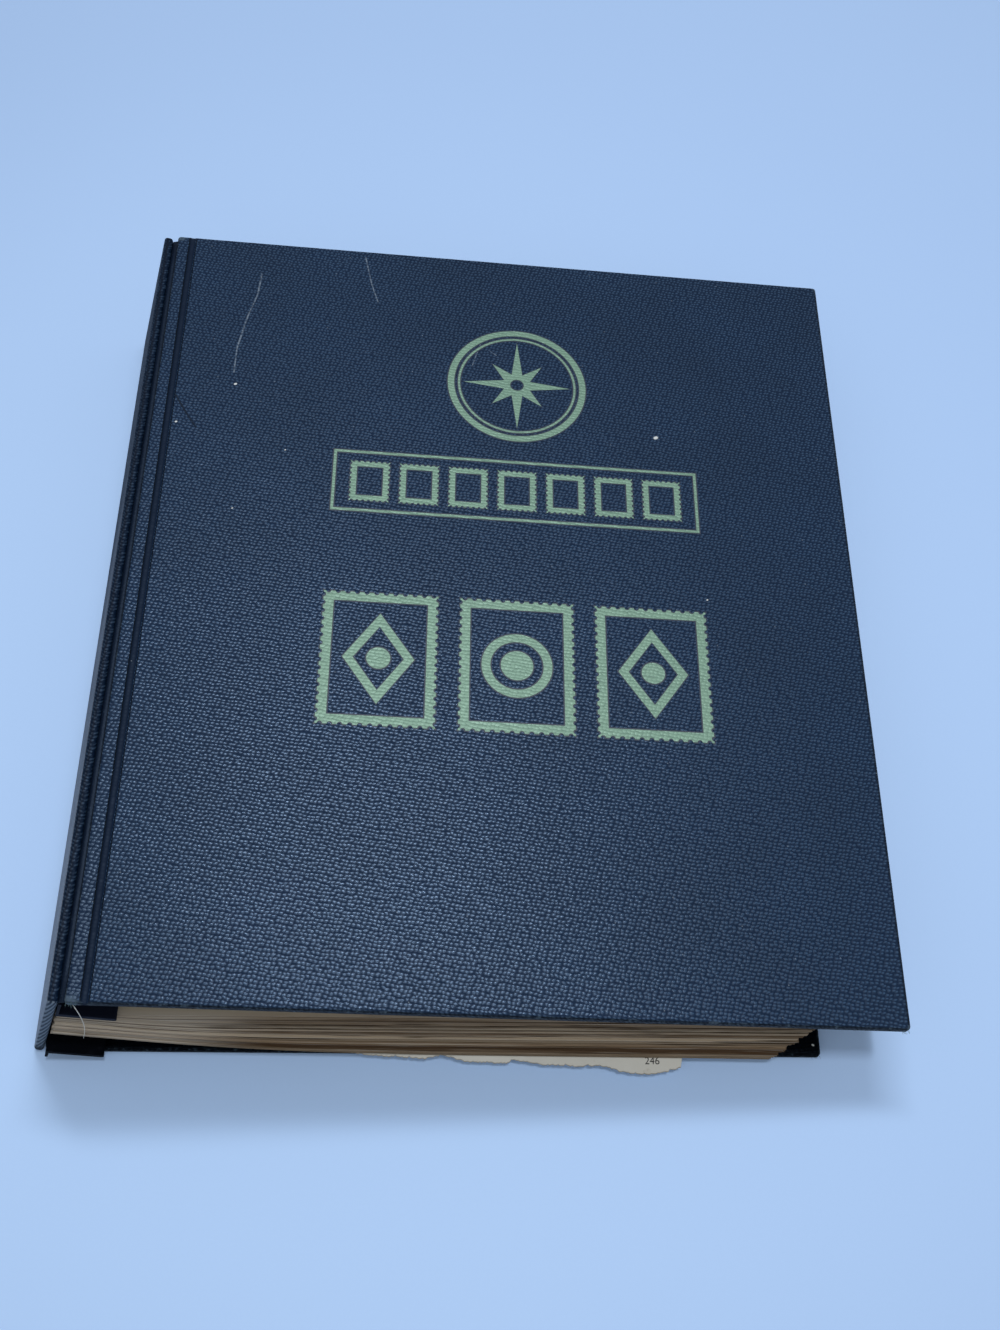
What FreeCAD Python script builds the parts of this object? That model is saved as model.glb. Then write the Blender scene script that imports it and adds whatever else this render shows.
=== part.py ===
import FreeCAD, Part
import math
import os
import Sketcher

Vector = FreeCAD.Vector

# Post-bound stamp album lying shut on its back cover: X to the fore-edge, Y to the head, Z up.
# The origin is the middle of the back cover's underside.

# Driving sizes, in mm and degrees
SIZES = {
    # covers: board, cloth wrapped round it, lining inside
    "cover_width": 253.0,
    "cover_height": 298.0,
    "board_thick": 3.0,
    "cloth_thick": 0.5,
    "lining_thick": 0.3,
    "lining_margin": 6.0,
    "turn_in": 16.0,
    "edge_round": 1.2,
    "strip_width": 4.4,
    "groove_width": 3.0,
    "groove_depth": 0.9,
    # spine and the two cloth hinges beside it
    "spine_width": 64.2,
    "spine_board": 2.2,
    "spine_lean": 18.5,
    "hinge_gap": 1.4,
    "hinge_rise": 1.2,
    "front_rise": 2.0,
    "face_drop": 0.3,
    # binding flaps, each a steel bar in a cloth sleeve
    "flap_width": 18.0,
    "flap_inset": 0.8,
    "flap_gap": 0.1,
    "flap_round": 1.1,
    "bar_thick": 1.6,
    "web_thick": 0.9,
    "web_drop": 5.0,
    "back_flap_up": 10.3,
    "back_slip": 3.6,
    # screw posts
    "post_spacing": 216.0,
    "post_radius": 2.4,
    "post_clearance": 0.4,
    "head_radius": 5.0,
    "head_thick": 1.4,
    "screw_radius": 1.6,
    "screw_reach": 12.0,
    "screw_clearance": 0.1,
    "bore_spare": 1.0,
    "slot_width": 1.2,
    "slot_depth": 0.7,
    # leaves, clamped at the spine and lying flat on the back cover
    "leaf_width": 235.0,
    "leaf_height": 286.0,
    "leaf_gap": 0.1,
    "stack_drop": 19.1,
    "clamp_thick": 19.0,
    "top_drop": 1.0,
    "bend_share": 0.95,
    "tail_low": -0.3,
    "tail_high": 3.0,
    "leaf_shift": 0.7,
    "cover_rest": 0.4,
    # leaves that turn, parted from their stubs at a crease
    "crease_reach": 28.0,
    "crease_gap": 0.3,
    # loose torn leaf under the stack
    "torn_thick": 0.25,
    "torn_lift": 0.3,
    "torn_left": 86.0,
    "torn_right": 212.0,
    "torn_reach": 6.6,
    "torn_tip": 13.5,
    "torn_length": 262.0,
}

# Leaf sections that stay put, and the share of the stack that turns with the front cover
SECTIONS = 9
STILL_SHARE = 0.86
TITLE_SHARE = 0.985

doc = FreeCAD.newDocument("stamp_album")
sheet = doc.addObject("Spreadsheet::Sheet", "Sizes")
for row, (alias, size) in enumerate(SIZES.items(), start=1):
    sheet.set(f"A{row}", str(size))
    sheet.setAlias(f"A{row}", alias)
doc.recompute()

# Places worked out from the driving sizes
PLACES = {
    "cover_thick": "Sizes.board_thick + 2 * Sizes.cloth_thick",
    "lid_thick": "Layout.cover_thick + Sizes.lining_thick",
    "flap_thick": "Sizes.bar_thick + 2 * Sizes.cloth_thick",
    "spine_thick": "Sizes.spine_board + 2 * Sizes.cloth_thick",
    "hinge_across": "Layout.spine_thick + Sizes.hinge_gap / 2",
    "back_axis_x": "-Sizes.cover_width / 2 - Sizes.hinge_gap / 2",
    "back_axis_z": "-Sizes.face_drop",
    "spine_x": "Layout.back_axis_x - Layout.hinge_across * cos(Sizes.spine_lean)"
    " + Sizes.hinge_rise * sin(Sizes.spine_lean)",
    "spine_z": "Layout.back_axis_z + Layout.hinge_across * sin(Sizes.spine_lean)"
    " + Sizes.hinge_rise * cos(Sizes.spine_lean)",
    "hinge_up": "Sizes.spine_width + Sizes.front_rise",
    "front_axis_x": "Layout.spine_x + Layout.hinge_across * cos(Sizes.spine_lean)"
    " + Layout.hinge_up * sin(Sizes.spine_lean)",
    "front_axis_z": "Layout.spine_z - Layout.hinge_across * sin(Sizes.spine_lean)"
    " + Layout.hinge_up * cos(Sizes.spine_lean)",
    "groove_radius": "(Sizes.groove_width * Sizes.groove_width / 4"
    " + Sizes.groove_depth * Sizes.groove_depth) / (2 * Sizes.groove_depth)",
    "stack_high": "Sizes.spine_width - Sizes.stack_drop",
    "stack_low": "Layout.stack_high - Sizes.clamp_thick",
    "flap_start": "Layout.spine_thick + Sizes.lining_thick + Sizes.flap_gap",
    "clamp_end": "Layout.flap_start + Sizes.flap_width",
    "leaf_start": "Layout.flap_start + Sizes.leaf_shift",
    "clamp_length": "Layout.clamp_end - Layout.leaf_start",
    "post_across": "(Layout.flap_start + Layout.clamp_end) / 2",
    "torn_floor": "Layout.lid_thick + Sizes.torn_lift",
    "leaf_floor": "Layout.torn_floor + Sizes.torn_thick + Sizes.leaf_gap",
    "low_drop": "Layout.spine_z - Layout.clamp_end * sin(Sizes.spine_lean)"
    " + Layout.stack_low * cos(Sizes.spine_lean) - Layout.leaf_floor",
    "top_x": "Layout.spine_x + Layout.clamp_end * cos(Sizes.spine_lean)"
    " + Layout.stack_high * sin(Sizes.spine_lean)",
    "block_top": "Layout.spine_z - Layout.clamp_end * sin(Sizes.spine_lean)"
    " + Layout.stack_high * cos(Sizes.spine_lean) - Sizes.top_drop",
    "rest_x": "Layout.top_x + Sizes.leaf_width - Layout.clamp_length - Layout.front_axis_x",
    "rest_z": "Layout.front_axis_z - Layout.block_top - Sizes.cover_rest",
    "rest_far": "sqrt(Layout.rest_x * Layout.rest_x + Layout.rest_z * Layout.rest_z)",
    "cover_tilt": "(atan(Layout.rest_z / Layout.rest_x)"
    " - asin((Sizes.face_drop + Layout.lid_thick) / Layout.rest_far)) / 1deg",
    "crease_x": "Layout.top_x + Sizes.crease_reach",
}
layout = doc.addObject("App::VarSet", "Layout")
for name in PLACES:
    layout.addProperty("App::PropertyFloat", name)
for name, expression in PLACES.items():
    layout.setExpression(name, expression)
doc.recompute()


def bind(thing, **expressions):
    for prop, expression in expressions.items():
        thing.setExpression(prop.replace("__", "."), expression)
    return thing


def at(thing, x="0", y="0", z="0"):
    return bind(thing, Placement__Base__x=x, Placement__Base__y=y, Placement__Base__z=z)


def body(label):
    made = doc.addObject("PartDesign::Body", label)
    made.Label = label
    return made


def solid_box(owner, kind, x, y, z, along, across, high):
    made = owner.newObject(f"PartDesign::{kind}Box", f"{owner.Name}_box")
    bind(made, Length=along, Width=across, Height=high)
    return at(made, x, y, z)


def solid_round(owner, kind, radius, high, x, y, z, turn=None):
    made = owner.newObject(f"PartDesign::{kind}Cylinder", f"{owner.Name}_round")
    if turn:
        made.Placement = FreeCAD.Placement(Vector(), turn)
    bind(made, Radius=radius, Height=high)
    return at(made, x, y, z)


def rounded(owner, feature, radius, chosen):
    doc.recompute()
    names = [f"Edge{n}" for n, edge in enumerate(feature.Shape.Edges, start=1) if chosen(edge)]
    made = owner.newObject("PartDesign::Fillet", f"{owner.Name}_edges")
    made.Base = (feature, names)
    return bind(made, Radius=radius)


# Turns a cylinder to lie along Y, with its seam to one side or on top
SEAM_ASIDE = FreeCAD.Rotation(Vector(1, 0, 0), -90)
SEAM_ON_TOP = FreeCAD.Rotation(Vector(0, 1, 0), -90).multiply(SEAM_ASIDE)


def every_edge(edge):
    return True


def runs_along_y(edge):
    ends = edge.Vertexes
    return abs(ends[0].Y - ends[-1].Y) > 1.0


# The front cover swings on its own tilt, the back cover is the same cover turned over
def place_front(thing):
    thing.Placement.Rotation = FreeCAD.Rotation(Vector(0, 1, 0), 5)
    bind(thing, Placement__Rotation__Angle="Layout.cover_tilt")
    return at(thing, "Layout.front_axis_x", "0", "Layout.front_axis_z")


def place_back(thing):
    thing.Placement.Rotation = FreeCAD.Rotation(Vector(1, 0, 0), 180)
    return at(thing, "Layout.back_axis_x", "0", "Layout.back_axis_z")


# The binding leans as one: spine, flaps and posts share this frame
def place_binding(thing):
    thing.Placement.Rotation = FreeCAD.Rotation(Vector(0, 1, 0), 5)
    bind(thing, Placement__Rotation__Angle="Sizes.spine_lean")
    return at(thing, "Layout.spine_x", "0", "Layout.spine_z")


BOARD_LONG = "Sizes.cover_height - 2 * Sizes.cloth_thick"
COVER_EDGE = "Sizes.hinge_gap / 2"
GROOVE = f"{COVER_EDGE} + Sizes.strip_width + Sizes.groove_width / 2"
BOARD_EDGE = f"{GROOVE} + Sizes.groove_width / 2 + Sizes.cloth_thick"
BOARD_WIDE = (
    "Sizes.cover_width - Sizes.strip_width - Sizes.groove_width - 2 * Sizes.cloth_thick"
)
BOARD_DOWN = "-Sizes.face_drop - Sizes.cloth_thick - Sizes.board_thick"
COVER_DOWN = "-Sizes.face_drop - Layout.cover_thick"
STRIP_WIDE = "Sizes.strip_width - 2 * Sizes.cloth_thick"


def cover_board(label, place):
    made = body(label)
    solid_box(
        made, "Additive", BOARD_EDGE, f"-({BOARD_LONG}) / 2", BOARD_DOWN,
        BOARD_WIDE, BOARD_LONG, "Sizes.board_thick",
    )
    return place(made)


def edge_strip(label, place):
    made = body(label)
    solid_box(
        made, "Additive", f"{COVER_EDGE} + Sizes.cloth_thick", f"-({BOARD_LONG}) / 2", BOARD_DOWN,
        STRIP_WIDE, BOARD_LONG, "Sizes.board_thick",
    )
    return place(made)


# Cloth drawn over the outer face, round the edges and turned in on the inner face
def cover_cloth(label, place):
    made = body(label)
    shell = solid_box(
        made, "Additive", COVER_EDGE, "-Sizes.cover_height / 2", COVER_DOWN,
        "Sizes.cover_width", "Sizes.cover_height", "Layout.cover_thick",
    )
    rounded(made, shell, "Sizes.edge_round", every_edge)
    solid_round(
        made, "Subtractive", "Layout.groove_radius", "Sizes.cover_height + 2 * Sizes.edge_round",
        GROOVE, "-Sizes.cover_height / 2 - Sizes.edge_round",
        "Layout.groove_radius - Sizes.groove_depth - Sizes.face_drop", SEAM_ON_TOP,
    )
    solid_box(
        made, "Subtractive", BOARD_EDGE, f"-({BOARD_LONG}) / 2", BOARD_DOWN,
        BOARD_WIDE, BOARD_LONG, "Sizes.board_thick",
    )
    solid_box(
        made, "Subtractive", f"{COVER_EDGE} + Sizes.cloth_thick", f"-({BOARD_LONG}) / 2", BOARD_DOWN,
        STRIP_WIDE, BOARD_LONG, "Sizes.board_thick",
    )
    solid_box(
        made, "Subtractive", f"{COVER_EDGE} + Sizes.turn_in",
        "-Sizes.cover_height / 2 + Sizes.turn_in", COVER_DOWN,
        "Sizes.cover_width - 2 * Sizes.turn_in", "Sizes.cover_height - 2 * Sizes.turn_in",
        "Sizes.cloth_thick",
    )
    return place(made)


# Lining paper: fills the opening between the turn-ins and laps over them
def cover_lining(label, place):
    made = body(label)
    solid_box(
        made, "Additive", f"{COVER_EDGE} + Sizes.turn_in",
        "-Sizes.cover_height / 2 + Sizes.turn_in", COVER_DOWN,
        "Sizes.cover_width - 2 * Sizes.turn_in", "Sizes.cover_height - 2 * Sizes.turn_in",
        "Sizes.cloth_thick",
    )
    solid_box(
        made, "Additive", f"{COVER_EDGE} + Sizes.lining_margin",
        "-Sizes.cover_height / 2 + Sizes.lining_margin", f"{COVER_DOWN} - Sizes.lining_thick",
        "Sizes.cover_width - 2 * Sizes.lining_margin", "Sizes.cover_height - 2 * Sizes.lining_margin",
        "Sizes.lining_thick",
    )
    return place(made)


nodes = []
for side, place in (("front", place_front), ("back", place_back)):
    nodes.append(cover_board(f"{side}_board", place))
    nodes.append(edge_strip(f"{side}_edge_strip", place))
    nodes.append(cover_cloth(f"{side}_cover_cloth", place))
    nodes.append(cover_lining(f"{side}_lining", place))

# Spine: board, cloth wrap and lining, upright in the binding's own frame
SPINE_BOARD_WIDE = "Sizes.spine_width - 2 * Sizes.cloth_thick"
SPINE_TURN = "Sizes.turn_in / 2"

spine_board = body("spine_board")
solid_box(
    spine_board, "Additive", "Sizes.cloth_thick", f"-({BOARD_LONG}) / 2", "Sizes.cloth_thick",
    "Sizes.spine_board", BOARD_LONG, SPINE_BOARD_WIDE,
)
nodes.append(place_binding(spine_board))

spine_cloth = body("spine_cloth")
spine_shell = solid_box(
    spine_cloth, "Additive", "0", "-Sizes.cover_height / 2", "0",
    "Layout.spine_thick", "Sizes.cover_height", "Sizes.spine_width",
)
rounded(spine_cloth, spine_shell, "Sizes.edge_round", every_edge)
solid_box(
    spine_cloth, "Subtractive", "Sizes.cloth_thick", f"-({BOARD_LONG}) / 2", "Sizes.cloth_thick",
    "Sizes.spine_board", BOARD_LONG, SPINE_BOARD_WIDE,
)
solid_box(
    spine_cloth, "Subtractive", "Sizes.cloth_thick + Sizes.spine_board",
    f"-Sizes.cover_height / 2 + {SPINE_TURN}", SPINE_TURN,
    "Sizes.cloth_thick", f"Sizes.cover_height - 2 * {SPINE_TURN}", f"Sizes.spine_width - 2 * {SPINE_TURN}",
)
nodes.append(place_binding(spine_cloth))

spine_lining = body("spine_lining")
solid_box(
    spine_lining, "Additive", "Sizes.cloth_thick + Sizes.spine_board",
    f"-Sizes.cover_height / 2 + {SPINE_TURN}", SPINE_TURN,
    "Sizes.cloth_thick", f"Sizes.cover_height - 2 * {SPINE_TURN}", f"Sizes.spine_width - 2 * {SPINE_TURN}",
)
solid_box(
    spine_lining, "Additive", "Layout.spine_thick",
    "-Sizes.cover_height / 2 + Sizes.lining_margin", "Sizes.lining_margin",
    "Sizes.lining_thick", "Sizes.cover_height - 2 * Sizes.lining_margin",
    "Sizes.spine_width - 2 * Sizes.lining_margin",
)
nodes.append(place_binding(spine_lining))


# Cloth trough that carries each cover from the spine, at one end of the spine or the other
def hinge_cloth(label, up, half):
    made = body(label)
    outer = solid_round(
        made, "Additive", "Sizes.hinge_gap / 2", BOARD_LONG,
        "Layout.hinge_across", f"-({BOARD_LONG}) / 2", up,
        FreeCAD.Rotation(Vector(0, 1, 0), half).multiply(SEAM_ASIDE),
    )
    outer.Angle = 180
    solid_round(
        made, "Subtractive", "Sizes.hinge_gap / 2 - Sizes.cloth_thick", BOARD_LONG,
        "Layout.hinge_across", f"-({BOARD_LONG}) / 2", up,
        FreeCAD.Rotation(Vector(0, 1, 0), 180 - half).multiply(SEAM_ON_TOP),
    )
    return place_binding(made)


nodes.append(hinge_cloth("front_hinge_cloth", "Sizes.spine_width - Sizes.edge_round", 0))
nodes.append(hinge_cloth("back_hinge_cloth", "-Sizes.hinge_rise / 2", 180))

# Binding flaps: the front one on the clamped leaves, the back one low on the back cover
FLAP_LONG = "Sizes.cover_height - 2 * Sizes.flap_inset"
FRONT_TAIL = f"-({FLAP_LONG}) / 2"
BACK_TAIL = f"-({FLAP_LONG}) / 2 - Sizes.back_slip"
FRONT_WEB = "Sizes.spine_width - Sizes.web_drop - Layout.stack_high - Layout.flap_thick"
BACK_WEB = "Sizes.back_flap_up - Sizes.web_drop"
BAR_START = "Layout.flap_start + Sizes.web_thick + Sizes.cloth_thick"
BAR_WIDE = "Sizes.flap_width - Sizes.web_thick - 2 * Sizes.cloth_thick"
HOLE_RADIUS = "Sizes.post_radius + Sizes.post_clearance"


def post_holes(owner, radius, low, high):
    for sign in ("-", ""):
        solid_round(
            owner, "Subtractive", radius, high,
            "Layout.post_across", f"{sign}Sizes.post_spacing / 2", low,
        )


def flap_bar(label, tail, low):
    made = body(label)
    solid_box(
        made, "Additive", BAR_START, f"{tail} + Sizes.cloth_thick", low,
        BAR_WIDE, f"{FLAP_LONG} - 2 * Sizes.cloth_thick", "Sizes.bar_thick",
    )
    post_holes(made, HOLE_RADIUS, low, "Sizes.bar_thick")
    return place_binding(made)


def flap_cloth(label, tail, low, web_low, web_high):
    made = body(label)
    sleeve = solid_box(
        made, "Additive", "Layout.flap_start", tail, low,
        "Sizes.flap_width", FLAP_LONG, "Layout.flap_thick",
    )
    doc.recompute()
    far = sleeve.Shape.BoundBox.XMax
    rounded(
        made, sleeve, "Sizes.flap_round",
        lambda edge: runs_along_y(edge) and edge.Vertexes[0].X > far - 0.01,
    )
    solid_box(
        made, "Additive", "Layout.flap_start", tail, web_low,
        "Sizes.web_thick", FLAP_LONG, web_high,
    )
    solid_box(
        made, "Subtractive", BAR_START, f"{tail} + Sizes.cloth_thick",
        f"{low} + Sizes.cloth_thick",
        BAR_WIDE, f"{FLAP_LONG} - 2 * Sizes.cloth_thick", "Sizes.bar_thick",
    )
    post_holes(made, HOLE_RADIUS, low, "Layout.flap_thick")
    return place_binding(made)


FRONT_LOW = "Layout.stack_high"
BACK_LOW = "Sizes.back_flap_up"
nodes.append(flap_bar("front_flap_bar", FRONT_TAIL, f"{FRONT_LOW} + Sizes.cloth_thick"))
nodes.append(
    flap_cloth(
        "front_flap_cloth", FRONT_TAIL, FRONT_LOW, f"{FRONT_LOW} + Layout.flap_thick", FRONT_WEB,
    )
)
nodes.append(flap_bar("back_flap_bar", BACK_TAIL, f"{BACK_LOW} + Sizes.cloth_thick"))
nodes.append(flap_cloth("back_flap_cloth", BACK_TAIL, BACK_LOW, "Sizes.web_drop", BACK_WEB))

# Screw posts: a headed barrel from behind and a slotted screw from the front, twice over
BARREL_LOW = "Sizes.back_flap_up"
BARREL_HIGH = "Layout.stack_high + Layout.flap_thick - Sizes.cloth_thick"
BORE_DEEP = "Sizes.screw_reach + Sizes.bore_spare"


def post(sign):
    made = body("post_barrel")
    here = ("Layout.post_across", f"{sign}Sizes.post_spacing / 2")
    solid_round(made, "Additive", "Sizes.head_radius", "Sizes.head_thick", *here,
                f"{BARREL_LOW} - Sizes.head_thick")
    solid_round(made, "Additive", "Sizes.post_radius", f"{BARREL_HIGH} - ({BARREL_LOW})", *here, BARREL_LOW)
    solid_round(made, "Subtractive", "Sizes.screw_radius + Sizes.screw_clearance", BORE_DEEP, *here,
                f"{BARREL_HIGH} - ({BORE_DEEP})")
    return made


def screw(sign):
    made = body("post_screw")
    here = ("Layout.post_across", f"{sign}Sizes.post_spacing / 2")
    seat = "Layout.stack_high + Layout.flap_thick"
    solid_round(made, "Additive", "Sizes.head_radius", "Sizes.head_thick", *here, seat)
    solid_round(made, "Additive", "Sizes.screw_radius", "Sizes.screw_reach", *here,
                f"{seat} - Sizes.screw_reach")
    solid_box(
        made, "Subtractive", "Layout.post_across - Sizes.head_radius",
        f"{sign}Sizes.post_spacing / 2 - Sizes.slot_width / 2",
        f"{seat} + Sizes.head_thick - Sizes.slot_depth",
        "2 * Sizes.head_radius", "Sizes.slot_width", "Sizes.slot_depth",
    )
    return made


def pair(label, make):
    made = doc.addObject("Part::Compound", label)
    made.Label = label
    made.Links = [make("-"), make("")]
    return place_binding(made)


nodes.append(pair("post_barrels", post))
nodes.append(pair("post_screws", screw))

# Leaves: straight in the clamp at the spine's lean, then bent through an arc to lie flat
LEAN = "Sizes.spine_lean"


# Places along one level of the stack; share runs from 0 under the stack to 1 on top of it
def stack_level(share, start):
    level = f"(Layout.stack_low + Sizes.clamp_thick * {share})"
    drop = f"(Layout.low_drop + (Sizes.top_drop - Layout.low_drop) * {share})"
    run = f"({drop} / sin({LEAN}))"
    bend = f"({run} * Sizes.bend_share)"
    radius = f"({bend} / tan({LEAN} / 2))"
    first_x = f"(Layout.spine_x + {start} * cos({LEAN}) + {level} * sin({LEAN}))"
    first_z = f"(Layout.spine_z - {start} * sin({LEAN}) + {level} * cos({LEAN}))"
    reach = f"(Layout.clamp_end - {start} + {run})"
    slope = f"({reach} - {bend})"
    fold_x = f"({first_x} + {reach} * cos({LEAN}))"
    fold_z = f"({first_z} - {reach} * sin({LEAN}))"
    return {
        "first": (first_x, first_z),
        "leave": (f"{first_x} + {slope} * cos({LEAN})", f"{first_z} - {slope} * sin({LEAN})"),
        "land": (f"{fold_x} + {bend}", fold_z),
        "edge": (
            f"{fold_x} + 2 * {bend} + Sizes.leaf_width - {reach} - {radius} * {LEAN} * pi / 180",
            fold_z,
        ),
        "radius": radius,
    }


def value(expression):
    return float(layout.evalExpression(expression))


def fix_point(sketch, piece, end, place):
    for kind, expression in zip(("DistanceX", "DistanceY"), place):
        number = sketch.addConstraint(
            Sketcher.Constraint(kind, -1, 1, piece, end, value(expression))
        )
        sketch.setExpression(f"Constraints[{number}]", expression)


# A closed outline of straight lines and arcs; each corner is a pair of expressions
def outline(owner, plane, corners, arcs):
    sketch = owner.newObject("Sketcher::SketchObject", f"{owner.Name}_outline")
    sketch.AttachmentSupport = [
        (face, "") for face in owner.Origin.OriginFeatures if face.Role == plane
    ]
    sketch.MapMode = "FlatFace"
    points = [Vector(value(x), value(y), 0) for x, y in corners]
    last = len(points)
    for n, point in enumerate(points):
        after = points[(n + 1) % last]
        if n in arcs:
            middle = point.add(after).multiply(0.5)
            chord = after.sub(point)
            radius = value(arcs[n])
            rise = radius - math.sqrt(radius * radius - chord.Length * chord.Length / 4)
            low = Vector(-abs(chord.y), -abs(chord.x), 0).normalize().multiply(rise)
            sketch.addGeometry(Part.Arc(point, middle.add(low), after))
        else:
            sketch.addGeometry(Part.LineSegment(point, after))
    ends = {}
    for n in range(last):
        first = sketch.getPoint(n, 1)
        ends[n] = (1, 2) if first.distanceToPoint(points[n]) < 1e-4 else (2, 1)
    for n in range(last):
        following = (n + 1) % last
        sketch.addConstraint(
            Sketcher.Constraint("Coincident", n, ends[n][1], following, ends[following][0])
        )
    for n, corner in enumerate(corners):
        fix_point(sketch, n, ends[n][0], corner)
    for n, radius in arcs.items():
        number = sketch.addConstraint(Sketcher.Constraint("Radius", n, value(radius)))
        sketch.setExpression(f"Constraints[{number}]", radius)
    return sketch


def padded(owner, sketch, length):
    made = owner.newObject("PartDesign::Pad", f"{owner.Name}_pad")
    made.Profile = sketch
    bind(made, Length=length)
    return made


def tail_place(share):
    recess = f"(Sizes.tail_low + (Sizes.tail_high - Sizes.tail_low) * {share})"
    return f"-Sizes.cover_height / 2 + {recess} + Sizes.leaf_height"


def leaf_holes(owner, tail):
    for sign in ("-", ""):
        made = solid_round(
            owner, "Subtractive", HOLE_RADIUS, "Sizes.spine_width",
            "Layout.spine_x + Layout.post_across * cos(Sizes.spine_lean)",
            f"{sign}Sizes.post_spacing / 2 - ({tail})",
            "Layout.spine_z - Layout.post_across * sin(Sizes.spine_lean)",
            FreeCAD.Rotation(Vector(0, 1, 0), 5),
        )
        bind(made, Placement__Rotation__Angle="Sizes.spine_lean")


# Each section starts a little nearer to the spine or further from it than the next
def leaf_start(number):
    lean_in = round(0.5 + 0.5 * math.sin(2.3 * number + 0.6), 3)
    return f"(Layout.leaf_start - Sizes.leaf_shift * {lean_in})"


# Shares of the stack in one section, less half a gap above and below
def shares(low, high):
    half = "Sizes.leaf_gap / 2 / (Layout.block_top - Layout.leaf_floor)"
    return f"({low} + {half})", f"({high} - {half})"


def leaf_section(label, number, low, high):
    made = body(label)
    under, over = (stack_level(share, leaf_start(number)) for share in shares(low, high))
    corners = [under[k] for k in ("first", "leave", "land", "edge")]
    corners += [over[k] for k in ("edge", "land", "leave", "first")]
    sketch = outline(made, "XZ_Plane", corners, {1: under["radius"], 5: over["radius"]})
    padded(made, sketch, "Sizes.leaf_height")
    tail = tail_place(round((low + high) / 2, 4))
    leaf_holes(made, tail)
    return at(made, "0", tail, "0")


# The clamped ends of the leaves that turn, as far as their crease
def leaf_stub(label, number, low, high):
    made = body(label)
    under, over = (stack_level(share, leaf_start(number)) for share in shares(low, high))
    stop = "Layout.crease_x - Sizes.crease_gap"
    corners = [under[k] for k in ("first", "leave", "land")]
    corners += [(stop, under["land"][1]), (stop, over["land"][1])]
    corners += [over[k] for k in ("land", "leave", "first")]
    sketch = outline(made, "XZ_Plane", corners, {1: under["radius"], 5: over["radius"]})
    padded(made, sketch, "Sizes.leaf_height")
    tail = tail_place(round((low + high) / 2, 4))
    leaf_holes(made, tail)
    return at(made, "0", tail, "0")


# The leaves beyond the crease, flat and free to turn
def turning_leaves(label, number, low, high):
    made = body(label)
    under, over = (stack_level(share, leaf_start(number)) for share in shares(low, high))
    corners = [
        ("Layout.crease_x", under["edge"][1]), under["edge"],
        over["edge"], ("Layout.crease_x", over["edge"][1]),
    ]
    sketch = outline(made, "XZ_Plane", corners, {})
    padded(made, sketch, "Sizes.leaf_height")
    return at(made, "0", tail_place(round((low + high) / 2, 4)), "0")


for number in range(SECTIONS):
    low = round(STILL_SHARE * number / SECTIONS, 4)
    high = round(STILL_SHARE * (number + 1) / SECTIONS, 4)
    nodes.append(leaf_section(f"leaf_section_{number + 1}", number, low, high))
nodes.append(leaf_stub("front_leaf_stubs", SECTIONS, STILL_SHARE, 1.0))
nodes.append(turning_leaves("front_leaves", SECTIONS, STILL_SHARE, TITLE_SHARE))
nodes.append(turning_leaves("title_leaf", SECTIONS, TITLE_SHARE, 1.0))

# A leaf torn from the binding, lying loose under the stack and out past the tail edge
torn = body("torn_leaf")
TORN_X = "Layout.back_axis_x + Sizes."
TORN_TAIL = "-Sizes.cover_height / 2"
torn_corners = [
    (f"{TORN_X}torn_left", f"{TORN_TAIL} + Sizes.torn_reach"),
    (f"{TORN_X}torn_right - 2 * Sizes.torn_tip", f"{TORN_TAIL} - Sizes.torn_reach / 2"),
    (f"{TORN_X}torn_right - Sizes.torn_tip", f"{TORN_TAIL} - Sizes.torn_reach"),
    (f"{TORN_X}torn_right - Sizes.torn_tip / 6", f"{TORN_TAIL} - 0.75 * Sizes.torn_reach"),
    (f"{TORN_X}torn_right", f"{TORN_TAIL} + Sizes.torn_reach / 4"),
    (f"{TORN_X}torn_right", f"{TORN_TAIL} + Sizes.torn_length"),
    (f"{TORN_X}torn_left", f"{TORN_TAIL} + Sizes.torn_length"),
]
padded(torn, outline(torn, "XY_Plane", torn_corners, {}), "Sizes.torn_thick")
nodes.append(at(torn, "0", "0", "Layout.torn_floor"))

doc.recompute()
for thing in doc.Objects:
    if "Invalid" in thing.State or "Error" in thing.State:
        raise RuntimeError(f"{thing.Label} did not build: {thing.State}")
os.makedirs("parts", exist_ok=True)
for node in nodes:
    shape = node.Shape
    if shape.isNull() or not shape.isValid() or not shape.Solids:
        raise RuntimeError(f"{node.Label} has no sound solid")
    shape.exportStep(f"parts/{node.Label}.step")
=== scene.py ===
import math
import random

import bmesh
import bpy
from mathutils import Euler, Matrix, Vector


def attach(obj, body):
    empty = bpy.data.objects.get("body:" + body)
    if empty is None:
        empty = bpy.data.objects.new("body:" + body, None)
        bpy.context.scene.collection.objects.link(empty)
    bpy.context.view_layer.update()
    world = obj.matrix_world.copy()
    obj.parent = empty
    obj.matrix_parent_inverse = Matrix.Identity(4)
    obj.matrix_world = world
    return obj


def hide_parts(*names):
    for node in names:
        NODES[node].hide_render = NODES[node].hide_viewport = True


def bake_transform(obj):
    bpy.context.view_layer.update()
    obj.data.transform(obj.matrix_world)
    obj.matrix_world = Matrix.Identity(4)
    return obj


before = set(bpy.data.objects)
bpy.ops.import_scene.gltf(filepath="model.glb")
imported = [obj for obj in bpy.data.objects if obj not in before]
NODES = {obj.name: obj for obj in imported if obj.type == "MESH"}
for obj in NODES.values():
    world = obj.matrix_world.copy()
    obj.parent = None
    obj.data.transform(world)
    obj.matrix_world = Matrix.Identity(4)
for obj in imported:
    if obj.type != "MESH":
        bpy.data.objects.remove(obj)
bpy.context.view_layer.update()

MM = 0.001

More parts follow.
